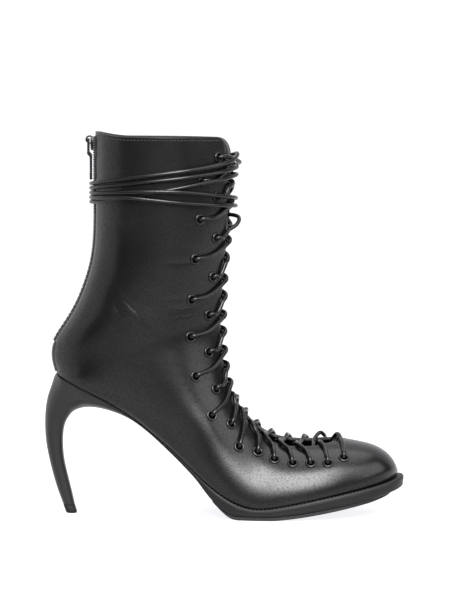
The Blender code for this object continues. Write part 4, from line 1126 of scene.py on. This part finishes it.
def insoleLevels(s):
    low = seat(s)[1] + last["gap"]
    top = low + soleLook["insoleThick"]
    inset = -last["wall"] - soleLook["insoleInset"]
    return [(inset - 5.0, top - 0.3), (inset - 1.4, top), (inset - 0.5, top - 0.25), (inset, low)]


def makeSole():
    body = layeredBody(toeToHeel(0.0, heelS, soleLook["rows"]), soleLevels)
    meshPiece("sole_leather", body, [soleEdge], ["sole"], weld=0.02, sharp=48.0)
    rear = stationAtX(soleLook["treadRearX"])
    body = layeredBody(toeToHeel(0.0, rear, soleLook["treadRows"]), treadLevels)
    meshPiece("tread_rubber", body, [treadRubber], ["tread"], weld=0.02, sharp=40.0)
    short = soleLook["insoleShort"]
    body = layeredBody(toeToHeel(short, heelS - short, soleLook["insoleRows"]), insoleLevels)
    meshPiece("insole_pad", body, [lining], ["insole"], weld=0.02, sharp=50.0)


def makeWelt():
    heap = Heap()
    size = soleLook["stitch"]
    for side in (lateral, medial):
        spots = []
        for s in np.linspace(0.0, stationAtX(size["fromX"]), 160):
            x, z = seat(s)[:2]
            spots.append((*outline(s, margin(x, 1) - size["inset"], side), z - last["gap"] + size["lift"]))
        stitchRow(heap, np.array(spots), np.tile((0.0, 0.0, 1.0), (len(spots), 1)), size)
    meshPiece("welt_stitches", heap, [thread])


makeSole()
makeWelt()
print("sole laid")


# Heel

heelShape = {
    # seat x, breast x, breast z, half width, belly
    "wing": [
        (-50.0, -49.6, 54.0, 0.0, 0.10), (-58.0, -57.2, 59.6, 0.0, 0.10),
        (-66.0, -65.0, 63.8, 0.0, 0.10), (-74.0, -73.4, 66.8, 0.0, 0.12),
        (-83.0, -81.5, 68.6, 0.0, 0.15), (-92.0, -87.5, 68.8, 23.0, 0.20),
        (-101.0, -92.5, 67.9, 19.4, 0.30), (-106.0, -95.6, 66.7, 17.4, 0.40),
        (-108.2, -97.8, 65.3, 16.2, 0.45),
    ],
    # back x, back z, breast x, breast z, half width
    "horn": [
        (-111.2, 83.0, -100.2, 62.4, 14.0), (-113.6, 76.0, -101.8, 59.8, 12.0),
        (-115.2, 67.5, -103.0, 56.8, 10.2), (-115.7, 58.0, -103.9, 52.0, 8.8),
        (-115.2, 47.5, -104.2, 44.6, 7.7), (-113.2, 35.5, -103.4, 34.6, 6.8),
        (-110.5, 24.5, -101.3, 24.6, 6.2), (-107.5, 14.5, -98.9, 14.8, 5.8),
        (-104.2, 5.5, -96.8, 5.5, 5.5),
    ],
    "loops": 110, "arc": 15, "seatInset": 0.4, "lip": 0.8,  # lip: cover drawn over the sole's edge
    "wingSquare": 0.62, "hornSquare": 0.5,  # flatness of the breast
    "tipBackX": -102.3, "tipFrontX": -95.2, "tipInset": 0.1,
    "tipProfile": [(0.0, -0.25), (0.06, 0.0), (0.9, 0.0), (1.0, -0.25)],  # share of the way down, margin
}


def heelLoop(backSpot, breastSpot, half, seatHalf, belly, square):
    angles = np.linspace(0.0, math.pi, 2 * heelShape["arc"] + 1)
    sine = np.maximum(np.sin(angles), 0.0)
    inFront = angles < math.pi / 2
    share = np.where(inFront, belly + (1.0 - belly) * np.cos(angles), belly * (1.0 + np.cos(angles)))
    wide = np.where(inFront, half * sine ** square, seatHalf + (half - seatHalf) * sine)
    x = backSpot[0] + (breastSpot[0] - backSpot[0]) * share
    z = backSpot[1] + (breastSpot[1] - backSpot[1]) * share
    outer = np.column_stack([x, -wide, z])
    inner = np.column_stack([x, wide, z])
    return np.concatenate([outer, inner[::-1]])


def hornLoop(backSpot, breastSpot, half):
    return heelLoop(backSpot, breastSpot, half, 0.0, 0.5, heelShape["hornSquare"])


def makeHeel():
    loops = []
    square = heelShape["wingSquare"]
    for seatX, breastX, breastZ, half, belly in heelShape["wing"]:
        row = seat(stationAtX(seatX))
        seatHalf = max(0.5 * (row[2] + row[3]) - heelShape["seatInset"], 0.0)
        spot = (seatX, soleUnder(seatX) + heelShape["lip"])
        loops.append(heelLoop(spot, (breastX, breastZ), max(half, seatHalf), seatHalf, belly, square))
    for backX, backZ, breastX, breastZ, half in heelShape["horn"]:
        loops.append(hornLoop((backX, backZ), (breastX, breastZ), half))
    loops = np.array(loops)
    step = np.mean(np.linalg.norm(np.diff(loops, axis=0), axis=2), axis=1)
    run = np.concatenate([[0.0], np.cumsum(step)])
    fine = splineThrough(run, loops.reshape(len(loops), -1))(np.linspace(0.0, run[-1], heelShape["loops"]))
    body = tubeBody(fine.reshape(heelShape["loops"], -1, 3))
    meshPiece("heel_block", body, [heelLeather], ["heel"], weld=0.02, sharp=55.0)


def makeTip():
    backX, backZ, breastX, _, half = heelShape["horn"][-1]
    top = backZ - last["gap"]
    loops = []
    for share, grow in heelShape["tipProfile"]:
        z = top * (1.0 - share)
        tipBack = backX + (heelShape["tipBackX"] - backX) * share - grow
        tipFront = breastX + (heelShape["tipFrontX"] - breastX) * share + grow
        loops.append(hornLoop((tipBack, z), (tipFront, z), half + grow - heelShape["tipInset"]))
    body = tubeBody(loops)
    meshPiece("heel_top_piece", body, [tipRubber], ["heel_tip"], weld=0.02, sharp=50.0)


makeHeel()
makeTip()
print("heel set")


# Back zip

zipLook = {
    "lowZ": 110.6, "tapeHalf": 4.0, "tapeLift": 0.6, "tapeDeep": 0.5,
    # bead under the teeth: distance aside, height
    "bead": [(-1.7, 0.06), (-1.3, 0.4), (-0.6, 0.55), (0.6, 0.55), (1.3, 0.4), (1.7, 0.06)],
    "pitch": 1.5, "toothWide": 3.2, "toothLong": 1.0, "toothHigh": 1.2, "toothLift": 0.65, "aside": 0.75,
    # one tooth: shares of its height, width and length
    "tooth": [(0.0, 1.0, 1.0), (0.62, 1.0, 1.0), (0.9, 0.86, 0.8), (1.0, 0.66, 0.5)],
}


def backStation(z):
    fine = np.linspace(heelS, topS, 1500)
    return float(np.interp(z, back(fine)[:, 1], fine))


def backFrame(s):
    ahead = unit(back(min(s + 0.5, topS)) - back(max(s - 0.5, heelS)))
    return back(s), np.array([-ahead[1], ahead[0]]), ahead


def spotBehind(s, y, lift):
    spot, out, _ = backFrame(s)
    spot = spot + out * lift
    return np.array([spot[0], y, spot[1]])


def makeTape():
    half, deep = zipLook["tapeHalf"], zipLook["tapeDeep"]
    row = [(-half, -deep), (-half, 0.0), *zipLook["bead"], (half, 0.0), (half, -deep)]
    loops = []
    for s in np.linspace(backStation(zipLook["lowZ"]), topS, 90):
        loops.append([spotBehind(s, y, zipLook["tapeLift"] + lift) for y, lift in row])
    meshPiece("zip_tape", tubeBody(loops), [zipTape], sharp=50.0)


def toothBody(s, side):
    spot, out, ahead = backFrame(s)
    loops = []
    for lift, wide, long in zipLook["tooth"]:
        loop = []
        for a, b in ((-1, -1), (1, -1), (1, 1), (-1, 1)):
            y = side * zipLook["aside"] + a * 0.5 * zipLook["toothWide"] * wide
            flat = spot + out * (zipLook["toothLift"] + lift * zipLook["toothHigh"])
            flat = flat + ahead * b * 0.5 * zipLook["toothLong"] * long
            loop.append((flat[0], y, flat[1]))
        loops.append(loop)
    return tubeBody(loops)


def makeTeeth():
    fine = np.linspace(backStation(zipLook["lowZ"]), topS, 600)
    run = runOf(back(fine))
    heap = Heap()
    for i in range(int(run[-1] / zipLook["pitch"])):
        s = float(np.interp((i + 0.5) * zipLook["pitch"], run, fine))
        heap.add(toothBody(s, lateral if i % 2 else medial))
    meshPiece("zip_teeth", heap, [zipMetal], ["zip_chain"], sharp=25.0)


hinge = np.array(frame["joints"][0]["pos_m"]) / mm - shift
sliderLook = {
    "lowZ": 233.0, "half": 3.8, "high": 1.4, "edge": 0.18, "proud": 2.1,  # proud: off the shaft's back
    # height above the low end, share of the width, share of the thickness
    "rows": [(0.0, 0.62, 0.75), (1.2, 0.72, 0.9), (3.4, 1.0, 1.0), (7.0, 0.98, 1.0), (9.0, 0.78, 0.8)],
    # shares of half width and of thickness, round the body
    "section": [
        (-1.0, -0.45), (1.0, -0.45), (1.0, 0.55), (0.8, 0.9), (0.4, 1.0), (-0.4, 1.0), (-0.8, 0.9),
        (-1.0, 0.55),
    ],
    "eyeRadius": 0.55, "eyeSides": 12, "eyeStep": 0.3,
}


def makeSlider():
    look = sliderLook
    face = back(topS)[0] - look["proud"]
    loops = []
    for up, share, deep in look["rows"]:
        z = look["lowZ"] + up
        wide, thick = look["half"] * share, look["high"] * deep
        loops.append([(face - x * thick, y * wide, z) for y, x in look["section"]])
    heap = Heap()
    heap.add(tubeBody(loops))
    base = face - 0.8
    eye = [(base, -2.4), (hinge[0] - 0.2, -1.9), (hinge[0] - 1.4, 0.0), (hinge[0] - 0.2, 1.9), (base, 2.1)]
    path = smoothPath([(x, 0.0, hinge[2] + up) for x, up in eye], look["eyeStep"])
    heap.add(sweep(path, look["eyeRadius"], look["eyeSides"]))
    slider = meshPiece("zip_slider_body", heap, [sliderMetal], ["zip_slider"], sharp=35.0)
    rounded(slider, look["edge"])


pullLook = {
    "long": 25.5, "half": 2.9, "thick": 1.6, "edge": 0.22,
    "knee": 7.6, "inward": 1.6,  # below the hinge the tab is cranked in towards the teeth
    "pinRadius": 0.68, "pinHalf": 2.6, "pinTurns": 14, "armInner": 1.45,
    "frameInner": 1.5, "frameOuter": 0.96, "middleHalf": 1.6, "foot": 4.6,
}


def pullBar(y0, y1, z0, z1, deep, x=0.0):
    corners = ((y0, z0), (y1, z0), (y1, z1), (y0, z1))
    return tubeBody([[(hinge[0] + x + aside, y, z) for y, z in corners] for aside in (-deep, deep)])


def makePull():
    look = pullLook
    half, thick, inward = look["half"], 0.5 * look["thick"], look["inward"]
    knee = hinge[2] - look["knee"]
    low = hinge[2] - look["long"]
    heap = Heap()
    ahead, up = np.eye(3)[[0, 2]]
    circle = look["pinRadius"] * ring(ahead, up, look["pinTurns"])
    heap.add(tubeBody([circle + (hinge[0], y, hinge[2]) for y in (-look["pinHalf"], look["pinHalf"])]))
    crank = [  # off the hinge, above the knee
        (-thick, 0.0), (-thick, -1.6), (inward - thick, -3.4), (inward - thick, -4.6),
        (inward + thick, -4.6), (inward + thick, -2.0), (thick, 0.0),
    ]
    heap.add(tubeBody([[(hinge[0] + x, y, knee + z) for x, z in crank] for y in (-half, half)]))
    for side in (lateral, medial):
        arm = (side * look["armInner"], side * look["pinHalf"])
        rail = (side * look["frameInner"], side * half * look["frameOuter"])
        heap.add(pullBar(*arm, knee - 1.0, hinge[2] + look["pinRadius"], thick * 0.9))
        heap.add(pullBar(*rail, low + 4.0, knee - 4.0, thick * 0.9, inward))
    heap.add(pullBar(-look["middleHalf"], look["middleHalf"], low + 3.6, knee - 4.2, thick * 0.45, inward))
    heap.add(pullBar(-half, half, low, low + look["foot"], thick, inward))
    pull = meshPiece("zip_pull_tab", heap, [pullMetal], ["zip_pull"], rides="pull", sharp=35.0)
    rounded(pull, look["edge"])


patchLook = {
    "topZ": 110.2, "half": 9.0, "high": 0.8, "feather": 0.45, "sunk": 0.1, "rows": 26, "columns": 41,
    "endRows": 3.0, "endLeast": 0.35, "flatShare": 0.12, "stitchColumn": 4,
    "stitch": {"pitch": 2.2, "long": 1.5, "wide": 0.45, "high": 0.4},
}


def stayRow(s, end):  # outer and inner points across the patch
    look = patchLook
    outer, inner = [], []
    for share in np.linspace(-1.0, 1.0, look["columns"]):
        side = lateral if share < 0 else medial
        angles, run = girthRun(s, side, 1.6)
        angle = float(np.interp(run[-1] - abs(share) * look["half"], run, angles))
        spot = skin(s, angle, side)
        out = skinNormal(s, angle, side)
        if abs(share) < look["flatShare"]:
            _, flat, _ = backFrame(s)
            out = np.array([flat[0], 0.0, flat[1]])
        rim = min((1.0 - abs(share)) / look["feather"], 1.0, end)
        outer.append(spot + out * (look["sunk"] + look["high"] * rim * (2.0 - rim)))
        inner.append(spot - out * look["sunk"])
    return outer, inner


def makeStay(heap):
    look = patchLook
    stations = np.linspace(heelS + 0.2, backStation(look["topZ"]), look["rows"])
    rows = []
    for left, s in zip(range(look["rows"] - 1, -1, -1), stations):
        rows.append(stayRow(s, left / look["endRows"] + look["endLeast"]))
    body = tubeBody([outer + inner[::-1] for outer, inner in rows])
    meshPiece("back_stay_patch", body, [stayLeather], ["back_stay"], weld=0.01, sharp=60.0)
    for side, column in ((lateral, look["stitchColumn"]), (medial, -1 - look["stitchColumn"])):
        spots = np.array([outer[column] for outer, _ in rows])
        stitchRow(heap, spots, np.tile((-0.8, side * 0.6, 0.0), (len(spots), 1)), look["stitch"])


def stitchSkin(heap, stations, angles, side, size):
    out = skinNormal(stations, angles, side)
    stitchRow(heap, dressedSkin(stations, angles, side) + out * upperLook["stitchLift"], out, size)


def makeStitches(heap):
    for side in (lateral, medial):
        size = upperLook["collarStitch"]
        s = topS - size["below"]
        angles, run = girthRun(s, side, throatAngle(s, side))
        spots = np.linspace(size["fromEdge"], run[-1] - size["fromZip"], 120)
        stitchSkin(heap, np.full(len(spots), s), np.interp(spots, run, angles), side, size)
        size = upperLook["zipStitch"]
        low = backStation(zipLook["lowZ"] + size["fromLow"])
        stations = np.linspace(low, topS - size["fromTop"], 150)
        places = []
        for s in stations:
            angles, run = girthRun(s, side, 1.2)
            places.append(np.interp(run[-1] - size["aside"], run, angles))
        stitchSkin(heap, stations, np.array(places), side, size)
    meshPiece("upper_stitches", heap, [thread])


makeTape()
makeTeeth()
makeSlider()
makePull()
stitches = Heap()
makeStay(stitches)
makeStitches(stitches)
print("zip and stitches set")


# Studio

studio = {
    "aim": (0.35, 0.8, 137.0), "distance": 1900.0, "pitch": 4.4, "lens": 177.84,
    "floorTone": 0.16, "floorHalf": 6.0, "drop": 0.0002, "sweepFrom": 2.0, "sweepRadius": 1.5,
    # painted light: floorGlow is how strongly the floor glows; glowNear, glowFar and glowLeast set where
    # that glow fades towards the camera
    "wallTop": 7.0, "floorGlow": 0.88, "glowNear": -0.2, "glowFar": -0.55, "glowLeast": 0.14, "world": 0.07,
    # name, place, aim, size, watts
    "lamps": [
        ("key_box", (0.1, -1.38, 1.42), (0.03, -0.03, 0.03), (0.8, 1.3), 62.0),
        ("over_box", (0.0, 0.4, 2.2), (0.0, 0.1, 0.0), (2.2, 1.6), 36.0),
        ("left_box", (-1.7, 0.0, 0.5), (0.0, 0.0, 0.12), (2.2, 1.4), 12.0),
        ("wide_box", (0.14, -1.44, 1.36), (0.03, -0.03, 0.03), (1.6, 1.8), 82.0),
        ("right_box", (1.44, -0.66, 1.08), (0.06, 0.0, 0.03), (1.5, 1.5), 27.0),
    ],
}


def lookAt(thing, spot):
    ahead = np.array(spot) - np.array(thing.location)
    flat = math.hypot(ahead[0], ahead[1])
    thing.rotation_euler = (math.atan2(flat, -ahead[2]), 0.0, math.atan2(-ahead[0], ahead[1]))


def makeFloor():
    half, start, bend = (studio[key] for key in ("floorHalf", "sweepFrom", "sweepRadius"))
    run = [(y, 0.0) for y in np.linspace(-half, start, 9)]
    for a in np.linspace(0.1, math.pi / 2, 14):
        run.append((start + bend * math.sin(a), bend - bend * math.cos(a)))
    run.append((start + bend, studio["wallTop"]))
    points = [(x, y, z - studio["drop"]) for y, z in run for x in (-half, half)]
    mesh = bpy.data.meshes.new("studio_floor")
    mesh.from_pydata(points, [], gridFaces(len(run), 2))
    # painted light: the floor glows as well as taking light from the lamps, so it reads white and its
    # shadows stay faint
    f = Finish("studio_floor", {"Roughness": 0.75, "Emission Strength": studio["floorGlow"]})
    near = f.ease(f.axis(1), studio["glowFar"], studio["glowNear"], studio["glowLeast"])  # painted light: the floor's glow is full from just before the boot backwards and fades towards the camera
    f.give(
        Base_Color=f.blend(grey(studio["floorTone"]), grey(studio["floorTone"] * 0.97), f.noise(3.0)),
        Emission_Color=f.blend(grey(0.0), grey(0.97), near),
    )
    mesh.materials.append(f.made)
    mesh.shade_smooth()
    newObject("studio_floor", mesh)


def makeLamps():
    for name, spot, aim, (wide, high), watts in studio["lamps"]:
        lamp = bpy.data.lights.new(name, "AREA")
        lamp.shape = "RECTANGLE"
        lamp.size = wide
        lamp.size_y = high
        lamp.energy = watts
        placed = newObject(name, lamp)
        placed.location = spot
        lookAt(placed, aim)
    world = bpy.data.worlds.new("studio")
    world.use_nodes = True
    sky = world.node_tree.nodes["Background"].inputs
    sky["Color"].default_value = (1.0, 1.0, 1.0, 1.0)
    sky["Strength"].default_value = studio["world"]
    bpy.context.scene.world = world


def makeCamera():
    camera = bpy.data.cameras.new("camera")
    camera.lens = studio["lens"]
    camera.sensor_width = 36.0
    placed = newObject("camera", camera)
    pitch = math.radians(studio["pitch"])
    away = np.array([0.0, -math.cos(pitch), math.sin(pitch)]) * studio["distance"]
    placed.location = (np.array(studio["aim"]) + away) * mm
    placed.rotation_euler = (math.pi / 2 - pitch, 0.0, 0.0)
    bpy.context.scene.camera = placed


makeFloor()
makeLamps()
makeCamera()
bpy.context.scene.view_settings.view_transform = "Standard"
print("studio lit")
